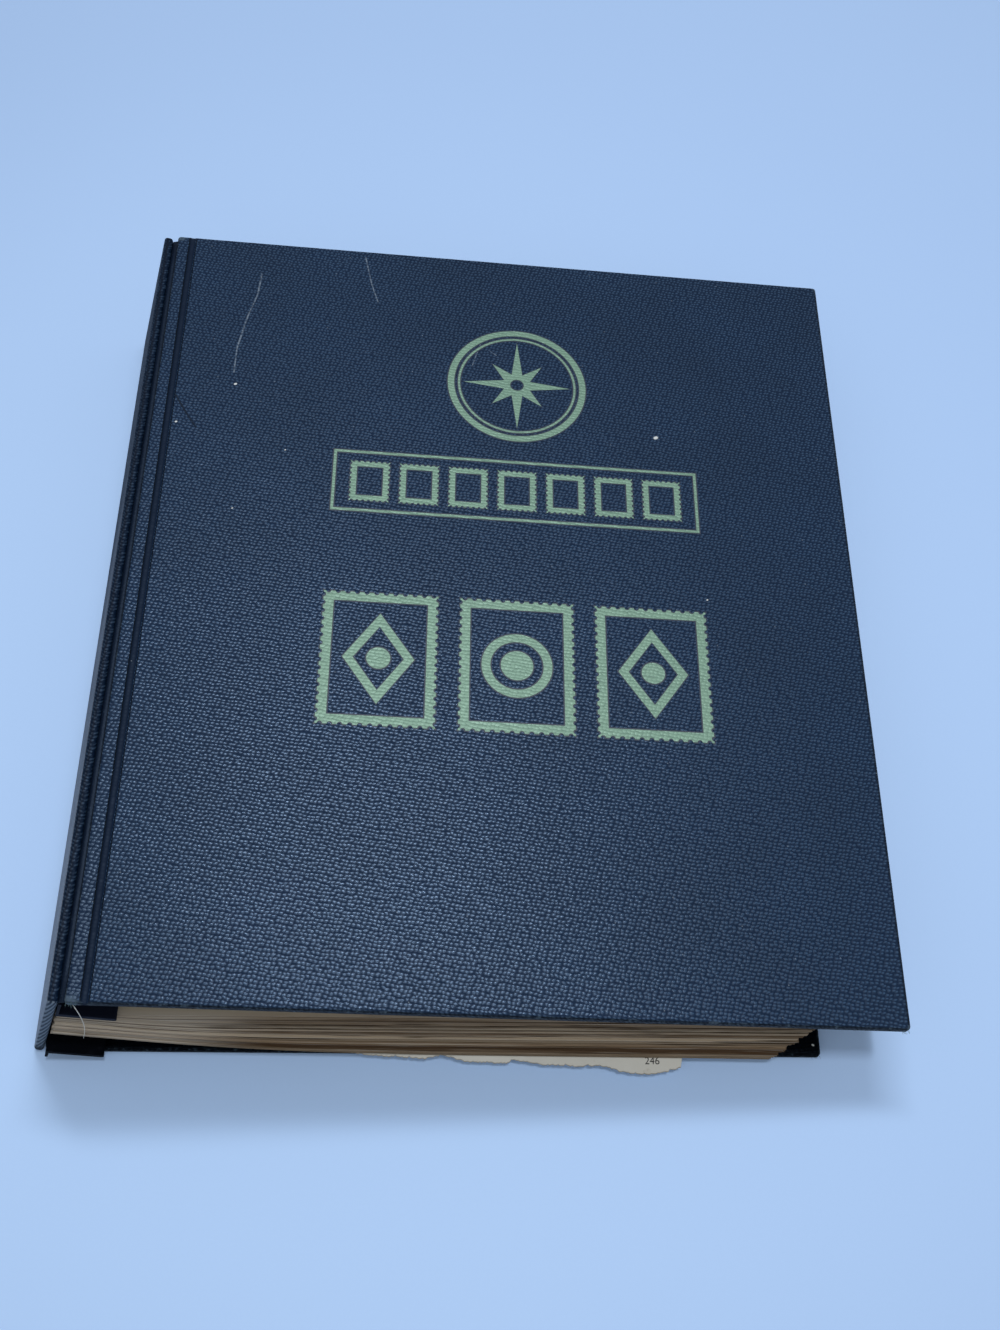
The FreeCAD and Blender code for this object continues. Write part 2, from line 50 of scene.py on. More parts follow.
# Frames of the covers and the spine, as in the CAD: x across, y along the spine, z out of the face
TILT = math.radians(5.41814)
LEAN = math.radians(18.5)
SPINE_X = -130.5177
SPINE_Z = 2.0755
FRONT = Matrix.Translation((-0.1058137, 0, 0.0636170)) @ Matrix.Rotation(TILT, 4, "Y")
SPINE = Matrix.Translation((SPINE_X * MM, 0, SPINE_Z * MM)) @ Matrix.Rotation(LEAN, 4, "Y")
BACK = Matrix.Translation((-0.1272, 0, -0.0003)) @ Matrix.Rotation(math.pi, 4, "X")
WORLD = Matrix.Identity(4)

# A cover's outer cloth in its own frame, in millimetres
COVER_LEFT = 0.7
COVER_RIGHT = 253.7
COVER_HALF = 149.0
FACE_DROP = 0.3
GROOVE_AT = 6.4
GROOVE_HALF = 0.6


# Node graphs
class Graph:
    """One material's node tree, built from sockets and numbers."""

    def __init__(self, name):
        self.material = bpy.data.materials.new(name)
        self.material.use_nodes = True
        self.tree = self.material.node_tree
        self.tree.nodes.clear()

    def feed(self, socket, value):
        if isinstance(value, bpy.types.NodeSocket):
            self.tree.links.new(value, socket)
        elif socket.type == "RGBA":
            socket.default_value = (*tuple(value)[:3], 1.0)
        else:
            socket.default_value = value

    def node(self, kind, inputs=None, **settings):
        made = self.tree.nodes.new("ShaderNode" + kind)
        for key, value in settings.items():
            setattr(made, key, value)
        for key, value in (inputs or {}).items():
            self.feed(made.inputs[key], value)
        return made

    def math(self, operation, *values, clamp=False):
        made = self.node("Math", dict(enumerate(values)), operation=operation, use_clamp=clamp)
        return made.outputs[0]

    def plus(self, first, second):
        return self.math("ADD", first, second)

    def minus(self, first, second):
        return self.math("SUBTRACT", first, second)

    def times(self, first, second):
        return self.math("MULTIPLY", first, second)

    def sine(self, value):
        return self.math("SINE", value)

    def magnitude(self, value):
        return self.math("ABSOLUTE", value)

    def vector(self, operation, *values):
        made = self.node("VectorMath", dict(enumerate(values)), operation=operation)
        scalar = operation in ("LENGTH", "DOT_PRODUCT", "DISTANCE")
        return made.outputs["Value" if scalar else "Vector"]

    def ease(self, value, low, high):
        """0 at low, 1 at high, smooth between."""
        inputs = {"Value": value, "From Min": low, "From Max": high}
        return self.node("MapRange", inputs, interpolation_type="SMOOTHSTEP").outputs["Result"]

    def span(self, value, first, second):
        """From first to second as value goes from 0 to 1."""
        return self.node("MapRange", {"Value": value, "To Min": first, "To Max": second}).outputs["Result"]

    def between(self, share, first, second):
        """A number between two sockets, by share."""
        return self.node("Mix", {0: share, 2: first, 3: second}).outputs[0]

    def mix(self, share, first, second, blend="MIX"):
        """A colour between two others, by share."""
        made = self.node("Mix", data_type="RGBA", blend_type=blend)
        for index, value in ((0, share), (6, first), (7, second)):
            self.feed(made.inputs[index], value)
        return made.outputs[2]

    def over(self, colour, mask, amount, paint):
        """The colour with some paint over it where the mask is 1."""
        return self.mix(self.times(mask, amount), colour, paint)

    def split(self, vector):
        return list(self.node("SeparateXYZ", {0: vector}).outputs)

    def join(self, x, y, z=0.0):
        return self.node("CombineXYZ", {0: x, 1: y, 2: z}).outputs[0]

    def noise(self, vector, scale, detail=3.0, roughness=0.55):
        inputs = {"Vector": vector, "Scale": scale, "Detail": detail, "Roughness": roughness}
        return self.node("TexNoise", inputs).outputs["Fac"]

    def stretched(self, axes, scales, detail, roughness=0.55):
        """Noise with a scale of its own along each axis."""
        scaled = [self.times(axis, scale) for axis, scale in zip(axes, scales)]
        return self.noise(self.join(*scaled), 1.0, detail, roughness)

    def local(self, matrix):
        """The point in a cover's or the spine's own frame, in millimetres."""
        point = self.node("TexCoord").outputs["Object"]
        offset = self.vector("SUBTRACT", point, tuple(matrix.translation))
        axes = [tuple(matrix.to_3x3().col[i] / MM) for i in range(3)]
        return self.join(*[self.vector("DOT_PRODUCT", offset, axis) for axis in axes])

    def facing(self, matrix, axis):
        """How far the surface faces along one axis of that frame, from 0 to 1."""
        normal = self.node("TexCoord").outputs["Normal"]
        return self.magnitude(self.vector("DOT_PRODUCT", normal, tuple(matrix.to_3x3().col[axis])))

    def bump(self, height, depth):
        return self.node("Bump", {"Height": height, "Distance": depth * MM}).outputs["Normal"]

    def shade(self, colour, roughness, normal=None, **fixed):
        shader = self.node("BsdfPrincipled", {"Base Color": colour, "Roughness": roughness})
        if normal is not None:
            self.feed(shader.inputs["Normal"], normal)
        for key, value in fixed.items():
            shader.inputs[key.replace("_", " ")].default_value = value
        output = self.node("OutputMaterial")
        self.tree.links.new(shader.outputs[0], output.inputs["Surface"])
        return self.material


STROKE_CORE = 0.35


def stroke(graph, plane, start, end, width):
    """1 on the line between two points of a plane, 0 beyond width."""
    run = Vector((end[0] - start[0], end[1] - start[1], 0.0))
    offset = graph.vector("SUBTRACT", plane, (start[0], start[1], 0.0))
    along = graph.vector("DOT_PRODUCT", offset, tuple(run))
    along = graph.math("MULTIPLY", along, 1.0 / run.length_squared, clamp=True)
    foot = graph.node("VectorMath", {0: tuple(run), "Scale": along}, operation="SCALE").outputs[0]
    return graph.ease(graph.vector("DISTANCE", offset, foot), width, width * STROKE_CORE)


def brightest(graph, masks):
    total = masks[0]
    for mask in masks[1:]:
        total = graph.math("MAXIMUM", total, mask)
    return total


# Leatherette colours, as linear red, green and blue
# the pebble valleys are painted dark as shade and their tops pale as sheen
NAVY_VALLEY_SHADE = (0.0014, 0.0092, 0.0300)
NAVY_TOP_SHEEN = (0.0320, 0.0610, 0.1120)
GROOVE_SHADE = (0.0010, 0.0040, 0.0140)
WORN_EDGE = (0.090, 0.130, 0.165)
WORN_AND_LIT_RIDGE = (0.050, 0.072, 0.110)
SCRATCH_GREY = (0.16, 0.20, 0.25)
CUT_BLACK = (0.003, 0.005, 0.011)
SPECK_WHITE = (0.55, 0.57, 0.56)
LINT_GREY = (0.24, 0.28, 0.32)
FADED_DARK = (0.105, 0.134, 0.180)
FADED_PALE = (0.300, 0.346, 0.426)
FADED_GRIME = (0.070, 0.086, 0.115)
FRESH_BLUE = (0.0080, 0.0150, 0.0330)
FOLD_SHADE = (0.0010, 0.0030, 0.0100)
CAP_DARK = (0.012, 0.020, 0.036)
CAP_PALE = (0.130, 0.165, 0.205)
CAP_FOOT_SHADE = (0.003, 0.005, 0.009)
HINGE_DARK = (0.0012, 0.0035, 0.0110)
HINGE_LIGHT = (0.0050, 0.0120, 0.0300)
HINGE_RUBBED = (0.014, 0.026, 0.048)
BLUE_SHINE = (0.55, 0.73, 1.0, 1.0)

# The pebbles stand in slanting rows: columns and rows per millimetre across and along a cover
COLUMNS_ACROSS = 0.694
COLUMNS_ALONG = 0.235
ROWS_ACROSS = 0.092
ROWS_ALONG = 0.791
PEBBLE_SCATTER = 0.34
PEBBLE_REACH = 0.72
PEBBLE_SIDE = 0.92 / PEBBLE_REACH
PEBBLE_UP = 1.12 / PEBBLE_REACH
PEBBLE_TOP = 0.70
ROW_SWAY = 0.85
ROW_WAVE = 0.7


def pebbles(graph, place):
    """Pebble grain: domes from 0 in the valleys to 1 on top, and a value for each pebble."""
    x, y, z = graph.split(place)
    sway = graph.noise(graph.join(graph.times(x, 0.25), y, z), 0.75, 2.0)
    wave = graph.noise(place, 0.16, 2.0)
    across = graph.plus(graph.plus(x, z), graph.span(sway, -ROW_SWAY, ROW_SWAY))
    along = graph.plus(graph.plus(y, z), graph.span(wave, -ROW_WAVE, ROW_WAVE))
    column = graph.minus(graph.times(across, COLUMNS_ACROSS), graph.times(along, COLUMNS_ALONG))
    row = graph.plus(graph.times(across, ROWS_ACROSS), graph.times(along, ROWS_ALONG))
    spot = graph.join(column, row)
    inputs = {"Vector": spot, "Scale": 1.0, "Randomness": PEBBLE_SCATTER}
    cell = graph.node("TexVoronoi", inputs, voronoi_dimensions="2D")
    side, up, _ = graph.split(graph.vector("SUBTRACT", spot, cell.outputs["Position"]))
    away = graph.vector("LENGTH", graph.join(graph.times(side, PEBBLE_SIDE), graph.times(up, PEBBLE_UP)))
    dome = graph.math("SUBTRACT", 1.0, graph.times(away, away), clamp=True)
    return dome, graph.split(cell.outputs["Color"])[0]


def pebble_tops(graph, height):
    return graph.ease(height, PEBBLE_TOP, 1.0)


def navy(graph, height, tone):
    """Dark blue, painted pale on the tops of the pebbles as sheen and dark in the valleys as shade, made
    lighter or darker by tone.
    """
    colour = graph.mix(pebble_tops(graph, height), NAVY_VALLEY_SHADE, NAVY_TOP_SHEEN)
    return graph.mix(1.0, colour, graph.join(tone, tone, tone), "MULTIPLY")


def leatherette(name, matrix, scratches, cuts, specks, corners,
                shade_below=None, ridge=None, depth=1.0, shine=0.30):
    """Dark blue pebbled leatherette with wear. Marks are in the frame's own plane, in millimetres.

    One argument gives the depth below the face from which it is painted black, as shade; ridge is a strip
    whose pebble tops are painted pale, as wear and as a painted highlight.
    """
    graph = Graph(name)
    place = graph.local(matrix)
    x, y, z = graph.split(place)
    plane = graph.join(x, y)
    height, each = pebbles(graph, place)
    groove = graph.ease(graph.magnitude(graph.minus(x, GROOVE_AT)), GROOVE_HALF + 0.5, GROOVE_HALF)
    height = graph.times(height, graph.span(groove, 1.0, 0.25))

    # uneven colour, with painted shade darkest on the turned edges
    blotch = graph.noise(place, 0.022, 4.0, 0.6)
    mottle = graph.noise(place, 0.35)
    tone = graph.plus(graph.span(blotch, 0.72, 1.25), graph.span(mottle, -0.10, 0.10))
    # the side faces and the turn of the edges are painted near black as shade; depth scales the whole colour
    grime_and_edge_shade = graph.ease(graph.facing(matrix, 2), 0.93, 0.60)
    tone = graph.times(tone, graph.span(grime_and_edge_shade, depth, 0.06 * depth))
    # a dark band along the fore-edge is painted shade on the turn of that edge
    rim = graph.ease(graph.minus(COVER_RIGHT, x), 1.5, 0.5)
    tone = graph.times(tone, graph.span(rim, 1.0, 0.12))
    # painted shade: black below the given depth under the face
    if shade_below:
        tone = graph.times(tone, graph.span(graph.ease(z, -shade_below, -shade_below - 0.8), 1.0, 0.08))
    colour = navy(graph, height, tone)
    # the groove is painted darker as shade in its hollow
    colour = graph.over(colour, groove, 0.75, GROOVE_SHADE)

    # worn paint along the edges and at the corners
    inside = graph.math("MINIMUM", graph.minus(x, COVER_LEFT), graph.minus(COVER_RIGHT, x))
    inside = graph.math("MINIMUM", inside, graph.minus(COVER_HALF, graph.magnitude(y)))
    rub = graph.noise(place, 0.55, 4.0, 0.7)
    edges = [graph.times(graph.ease(inside, 1.1, 0.0), graph.ease(rub, 0.50, 0.72))]
    for corner_x, corner_y, reach in corners:
        near = graph.vector("DISTANCE", plane, (corner_x, corner_y, 0.0))
        ragged = graph.plus(near, graph.span(graph.noise(place, 0.8), -2.2, 2.2))
        edges.append(graph.ease(ragged, reach, reach * 0.3))
    colour = graph.over(colour, brightest(graph, edges), 0.5, WORN_EDGE)
    # the pebble tops on the hinge ridge toward the tail are painted pale, as wear and as a painted highlight
    if ridge:
        left, right, low, high = ridge
        band = graph.times(graph.ease(x, left, left + 0.6), graph.ease(x, right + 0.6, right))
        band = graph.times(band, graph.ease(y, high, low))
        colour = graph.mix(graph.times(band, pebble_tops(graph, height)), colour, WORN_AND_LIT_RIDGE)

    # scratches, cuts, specks and lint
    broken = graph.ease(graph.noise(place, 0.9, 3.0, 0.7), 0.38, 0.62)
    lines = brightest(graph, [stroke(graph, plane, *mark) for mark in scratches])
    colour = graph.mix(graph.times(lines, graph.span(broken, 0.12, 0.8)), colour, SCRATCH_GREY)
    if cuts:
        lines = brightest(graph, [stroke(graph, plane, *mark) for mark in cuts])
        colour = graph.over(colour, lines, 0.85, CUT_BLACK)
        height = graph.times(height, graph.span(lines, 1.0, 0.0))
    dots = [stroke(graph, plane, (at_x, at_y), (at_x + 0.6 * size, at_y + 0.3 * size), size)
            for at_x, at_y, size in specks]
    colour = graph.mix(brightest(graph, dots), colour, SPECK_WHITE)
    dust = graph.node("TexVoronoi", {"Vector": plane, "Scale": 0.11}, voronoi_dimensions="2D")
    few = graph.ease(graph.split(dust.outputs["Color"])[1], 0.84, 0.90)
    lint = graph.times(graph.ease(dust.outputs["Distance"], 0.030, 0.012), few)
    colour = graph.over(colour, lint, 0.45, LINT_GREY)

    gloss = graph.plus(graph.span(height, 0.74, 0.18), graph.span(each, -0.04, 0.04))
    gloss = graph.plus(gloss, graph.span(blotch, 0.06, -0.06))
    gloss = graph.plus(gloss, graph.times(grime_and_edge_shade, 0.35))
    relief = graph.bump(height, 0.12)
    return graph.shade(colour, gloss, relief, Specular_IOR_Level=shine, Specular_Tint=BLUE_SHINE)


# Marks on the covers: ends and width of a line, place and size of a speck, place and reach of a corner
FRONT_SCRATCHES = [
    ((34.1, 132.8), (33.4, 122.7), 0.45), ((33.4, 122.7), (30.4, 110.5), 0.4),
    ((30.4, 110.5), (28.0, 95.8), 0.45), ((28.0, 95.8), (27.9, 84.5), 0.35),
    ((73.2, 145.3), (76.2, 131.7), 0.35), ((76.2, 131.7), (78.9, 123.4), 0.35),
    ((119.1, 108.6), (115.5, 95.6), 0.25), ((121.5, 104.0), (124.6, 101.6), 0.22),
]
FRONT_CUTS = [((8.3, 72.1), (13.0, 64.0), 0.5), ((13.0, 64.0), (16.9, 58.4), 0.4)]
FRONT_SPECKS = [
    (28.8, 79.0, 0.55), (9.5, 60.2, 0.45), (184.2, 68.0, 0.85), (32.7, 24.8, 0.3), (199.5, -0.8, 0.35),
    (49.0, 51.1, 0.3),
]
HINGE_CORNER = 2.0
FRONT_CORNERS = [
    (COVER_RIGHT, -COVER_HALF, 1.8), (COVER_RIGHT, COVER_HALF, 2.4),
    (HINGE_CORNER, -COVER_HALF, 3.4), (HINGE_CORNER, COVER_HALF, 3.0),
]
FRONT_RIDGE = (1.0, 4.4, -COVER_HALF, -40.0)
BACK_SCRATCHES = [
    ((60.0, 40.0), (92.0, 28.0), 0.5), ((150.0, -80.0), (171.0, -35.0), 0.4),
    ((200.0, 90.0), (222.0, 96.0), 0.6),
]
BACK_SPECKS = [(120.0, 20.0, 0.5), (78.0, -96.0, 0.4), (251.2, 145.6, 0.42)]
BACK_CORNERS = [(COVER_RIGHT, -COVER_HALF, 3.0), (HINGE_CORNER, -COVER_HALF, 3.0)]

FRONT_LEATHER = leatherette(
    "front_leatherette", FRONT, FRONT_SCRATCHES, FRONT_CUTS, FRONT_SPECKS, FRONT_CORNERS, ridge=FRONT_RIDGE,
)
# The back cover is painted darker all over, and black on its edges and inside, as painted shade under the
# leaves.
BACK_LEATHER = leatherette(
    "back_leatherette", BACK, BACK_SCRATCHES, [], BACK_SPECKS, BACK_CORNERS,
    shade_below=0.7, depth=0.6, shine=0.05,
)


def spine_leather():
    """The spine's leatherette: dark pebbles, rubbed to a grey weave on its face toward the tail."""
    graph = Graph("spine_leatherette")
    place = graph.local(SPINE)
    x, y, z = graph.split(place)
    height = pebbles(graph, place)[0]
    tone = graph.span(graph.noise(place, 0.05, 4.0, 0.6), 0.40, 0.75)
    colour = navy(graph, height, tone)

    # the face: a twill of two threads, grey where it is rubbed
    twill = graph.sine(graph.times(graph.plus(y, graph.times(z, 0.8)), 5.6))
    weft = graph.sine(graph.times(graph.minus(y, graph.times(z, 1.1)), 4.7))
    weave = graph.times(graph.plus(graph.plus(twill, weft), 2.0), 0.25)
    faded = graph.mix(weave, FADED_DARK, FADED_PALE)
    grime_and_edge_shade = graph.noise(place, 0.4, 4.0, 0.65)
    faded = graph.mix(graph.ease(grime_and_edge_shade, 0.50, 0.78), faded, FADED_GRIME)
    fresh = graph.plus(y, graph.span(graph.noise(place, 0.03, 4.0, 0.6), -90.0, 90.0))
    faded = graph.over(faded, graph.ease(fresh, -130.0, 70.0), 0.93, FRESH_BLUE)
    rubbed = graph.times(graph.ease(x, 1.0, 0.5), graph.ease(z, 63.9, 63.2))
    rubbed = graph.times(rubbed, graph.ease(z, 0.8, 3.0))
    colour = graph.mix(rubbed, colour, faded)
    # a dark line is painted as shade along the fold at the top of the spine
    fold = graph.ease(graph.magnitude(graph.minus(x, 1.2)), 0.55, 0.25)
    fold = graph.times(graph.ease(z, 62.6, 63.6), fold)
    colour = graph.over(colour, fold, 0.9, FOLD_SHADE)

    # the ends: slanting threads, darkest at the back, where shade is painted near the table
    slant = graph.sine(graph.times(graph.minus(z, graph.times(x, 4.0)), 1.15))
    thread = graph.plus(graph.times(slant, 0.34), graph.noise(place, 1.5))
    cap = graph.mix(graph.ease(thread, 0.15, 0.85), CAP_DARK, CAP_PALE)
    cap = graph.mix(graph.ease(z, 8.0, 3.5), cap, CAP_FOOT_SHADE)
    end = graph.ease(graph.facing(SPINE, 1), 0.45, 0.75)
    colour = graph.mix(end, colour, cap)

    relief = graph.between(end, graph.between(rubbed, height, weave), thread)
    cloth = graph.math("MAXIMUM", rubbed, end)
    rough = graph.plus(graph.span(height, 0.62, 0.38), graph.times(cloth, 0.25))
    relief = graph.bump(relief, 0.14)
    return graph.shade(colour, rough, relief, Specular_IOR_Level=0.18, Specular_Tint=BLUE_SHINE)


SPINE_LEATHER = spine_leather()


def hinge_material():
    """Bare hinge cloth in the grooves: smoother, darker, creased along the spine."""
    graph = Graph("hinge_cloth")
    place = graph.local(WORLD)
    crease = graph.stretched(graph.split(place), (2.2, 0.05, 2.2), 4.0)
    grain = graph.noise(place, 1.1)
    colour = graph.mix(crease, HINGE_DARK, HINGE_LIGHT)
    colour = graph.mix(graph.ease(grain, 0.60, 0.78), colour, HINGE_RUBBED)
    relief = graph.bump(grain, 0.15)
    rough = graph.span(crease, 0.62, 0.45)
    return graph.shade(colour, rough, relief, Specular_IOR_Level=0.3, Specular_Tint=BLUE_SHINE)


HINGE = hinge_material()

# Linings, boards, flaps and metal
LINING_DARK = (0.40, 0.36, 0.29)
LINING_LIGHT = (0.53, 0.49, 0.41)
LINING_SPOT = (0.30, 0.21, 0.12)
LINING_FIBRE = (0.30, 0.27, 0.22)
STRIP_SHADE_DARK = (0.0015, 0.0016, 0.0020)
STRIP_SHADE_LIGHT = (0.0050, 0.0055, 0.0070)
STRIP_EDGE = 30.3
BOARD_DARK = (0.16, 0.125, 0.085)
BOARD_LIGHT = (0.30, 0.245, 0.175)
BOARD_FIBRE = (0.12, 0.10, 0.075)
FLAP_RUBBED = (0.014, 0.015, 0.020)
FLAP_THREADS = 12.0
TARNISH = 0.35


def lining_material(name, matrix):
    """Aged endpaper, with a strip of black cloth along the hinge, kept black as painted shade in the hollow
    there.
    """
    graph = Graph(name)
    place = graph.local(matrix)
    cloud = graph.noise(place, 0.016, 5.0, 0.6)
    fibre = graph.noise(place, 1.7, 4.0, 0.7)
    spots = graph.noise(place, 0.16, 5.0, 0.62)
    colour = graph.mix(cloud, LINING_DARK, LINING_LIGHT)
    colour = graph.over(colour, graph.ease(spots, 0.62, 0.78), 0.5, LINING_SPOT)
    colour = graph.over(colour, fibre, 0.18, LINING_FIBRE)
    shaded_strip = graph.ease(graph.split(place)[0], STRIP_EDGE, STRIP_EDGE - 0.4)
    colour = graph.mix(shaded_strip, colour, graph.mix(fibre, STRIP_SHADE_DARK, STRIP_SHADE_LIGHT))
    relief = graph.bump(fibre, 0.05)
    return graph.shade(colour, graph.span(fibre, 0.78, 0.92), relief, Specular_IOR_Level=0.15)


def board_material():
    graph = Graph("binders_board")
    place = graph.local(WORLD)
    layers = graph.stretched(graph.split(place), (0.1, 0.1, 3.0), 4.0)
    fibre = graph.noise(place, 2.4, 4.0, 0.7)
    colour = graph.mix(layers, BOARD_DARK, BOARD_LIGHT)
    colour = graph.over(colour, fibre, 0.35, BOARD_FIBRE)
    return graph.shade(colour, graph.span(fibre, 0.80, 0.95), graph.bump(fibre, 0.12), Specular_IOR_Level=0.2)


def flap_material(name, dark, light, shine):
    """Dark book cloth of the binding flaps, with a fine weave and a dull shine where it is rubbed."""
    graph = Graph(name)
    place = graph.local(SPINE)
    x, y, z = graph.split(place)
    warp = graph.sine(graph.times(graph.plus(x, z), FLAP_THREADS))
    weft = graph.sine(graph.times(y, FLAP_THREADS))
    weave = graph.times(graph.plus(graph.times(warp, weft), 1.0), 0.5)
    rubbed = graph.noise(place, 0.25, 4.0, 0.65)
    colour = graph.mix(weave, dark, light)
    colour = graph.over(colour, graph.ease(rubbed, 0.56, 0.80), 0.5, FLAP_RUBBED)
    relief = graph.bump(weave, 0.05)
    rough = graph.span(rubbed, 0.85, 0.60)
    return graph.shade(colour, rough, relief, Specular_IOR_Level=shine, Specular_Tint=BLUE_SHINE)


def metal_material(name, dark, light, scales):
    """Drawn metal, dull in patches."""
    graph = Graph(name)
    place = graph.local(SPINE)
    lines = graph.stretched(graph.split(place), scales, 4.0, 0.6)
    tarnish = graph.noise(place, 0.35, 4.0, 0.6)
    colour = graph.mix(lines, dark, light)
    dull = tuple(part * TARNISH for part in dark)
    colour = graph.over(colour, graph.ease(tarnish, 0.52, 0.75), 0.55, dull)
    return graph.shade(colour, graph.span(tarnish, 0.28, 0.50), graph.bump(lines, 0.02), Metallic=1.0)


BOARD = board_material()
# the back flap is black cloth and the spine's lining takes the same; both are kept near black as painted
# shade in the hollow at the hinge
FLAP_IN_SHADE = flap_material("flap_cloth", (0.0008, 0.0010, 0.0020), (0.0022, 0.0026, 0.0045), 0.03)
FRONT_FLAP = flap_material("front_flap_cloth", (0.0020, 0.0028, 0.0075), (0.0075, 0.0095, 0.0200), 0.10)
STEEL = metal_material("flap_steel", (0.36, 0.37, 0.39), (0.56, 0.57, 0.58), (4.0, 0.08, 4.0))
BRASS = metal_material("post_metal", (0.46, 0.33, 0.13), (0.70, 0.53, 0.24), (1.5, 1.5, 1.5))

CAD_FINISH = {
    "front_cover_cloth": FRONT_LEATHER, "back_cover_cloth": BACK_LEATHER, "spine_cloth": SPINE_LEATHER,
    "front_lining": lining_material("front_lining_paper", FRONT),
    "back_lining": lining_material("back_lining_paper", BACK), "spine_lining": FLAP_IN_SHADE,
    "front_board": BOARD, "back_board": BOARD, "spine_board": BOARD,
    "front_edge_strip": BOARD, "back_edge_strip": BOARD,
    "front_flap_cloth": FRONT_FLAP, "back_flap_cloth": FLAP_IN_SHADE,
    "front_flap_bar": STEEL, "back_flap_bar": STEEL, "post_barrels": BRASS, "post_screws": BRASS,
}
for node, finish in CAD_FINISH.items():
    slots = NODES[node].data.materials
    slots.clear()
    slots.append(finish)


# Mesh helpers
def piece(name, points, faces, finish, matrix=WORLD, smooth=False):
    """A mesh from points in millimetres in a frame."""
    mesh = bpy.data.meshes.new(name)
    mesh.from_pydata([matrix @ (Vector(point) * MM) for point in points], [], faces)
    work = bmesh.new()
    work.from_mesh(mesh)
    bmesh.ops.recalc_face_normals(work, faces=work.faces)
    work.to_mesh(mesh)
    work.free()
    mesh.materials.append(finish)
    mesh.polygons.foreach_set("use_smooth", [smooth] * len(mesh.polygons))
    return placed(name, mesh)


def placed(name, data):
    made = bpy.data.objects.new(name, data)
    bpy.context.scene.collection.objects.link(made)
    return made


def keep_values(made, name, values, domain="POINT"):
    made.data.attributes.new(name, "FLOAT", domain).data.foreach_set("value", values)


# Leaves: the stack as in the CAD, in millimetres
STACK_LOW = 26.1
CLAMP_THICK = 19.0
CLAMP_END = 21.6
LOW_DROP = 15.0229
TOP_DROP = 1.0
BEND_SHARE = 0.95
BEND_STEPS = 8
LEAF_START = 4.3
LEAF_SHIFT = 0.7
SHIFT_WAVES = 23
SHIFT_PHASE = 0.6
LEAF_WIDTH = 235.0
LEAF_HEIGHT = 286.0
BLOCK_LOW = 4.95
BLOCK_TOP = 36.991
SECTION_SHARE = 0.86
SECTIONS = 9

# Single leaves, and how far they are out of line
LEAVES_IN_SECTION = 14
LEAVES_IN_FRONT = 20
LEAF_FACES = (0.07, 0.93)
FORE_STEP = 4.5
FORE_DRIFT = 0.8
FORE_TRIM = 0.6
FORE_JITTER = 0.45
FORE_SEED = 4.0
LEAST_TRIM = 0.05
TAIL_HANG = 0.3
TAIL_STEP = 3.3
TAIL_DRIFT = 0.5
TAIL_JITTER = 0.11
TAIL_SEED = 1.0
LOW_SLANT = 1.7
SLANT_JITTER = 0.25
DRIFT_WAVES = [(0.55, 33, 1.0), (0.30, 71, 2.1), (0.15, 163, 0.0)]


def leaf_line(share, trim, flats):
    """A leaf from the side: clamped along the spine's lean, then bent to lie flat."""
    start = LEAF_START - LEAF_SHIFT * (0.5 + 0.5 * math.sin(SHIFT_WAVES * share + SHIFT_PHASE))
    cos, sin = math.cos(LEAN), math.sin(LEAN)
    level = STACK_LOW + CLAMP_THICK * share
    run = (LOW_DROP + (TOP_DROP - LOW_DROP) * share) / sin
    bend = BEND_SHARE * run
    radius = bend / math.tan(LEAN / 2)
    reach = CLAMP_END - start + run
    first_x = SPINE_X + start * cos + level * sin
    first_z = SPINE_Z - start * sin + level * cos
    fold_x, fold_z = first_x + reach * cos, first_z - reach * sin
    land_x = fold_x + bend
    edge_x = fold_x + 2 * bend + LEAF_WIDTH - reach - radius * LEAN - trim
    line = [(first_x, first_z)]
    for step in range(BEND_STEPS + 1):
        turn = LEAN * (1 - step / BEND_STEPS)
        line.append((land_x - radius * math.sin(turn), fold_z + radius * (1 - math.cos(turn))))
    line += [(land_x + (edge_x - land_x) * flat, fold_z) for flat in flats]
    return line


def drift(share, seed):
    """How far a bundle of leaves has slipped, from -1 to 1."""
    return sum(size * math.sin(waves * share + phase * seed) for size, waves, phase in DRIFT_WAVES)


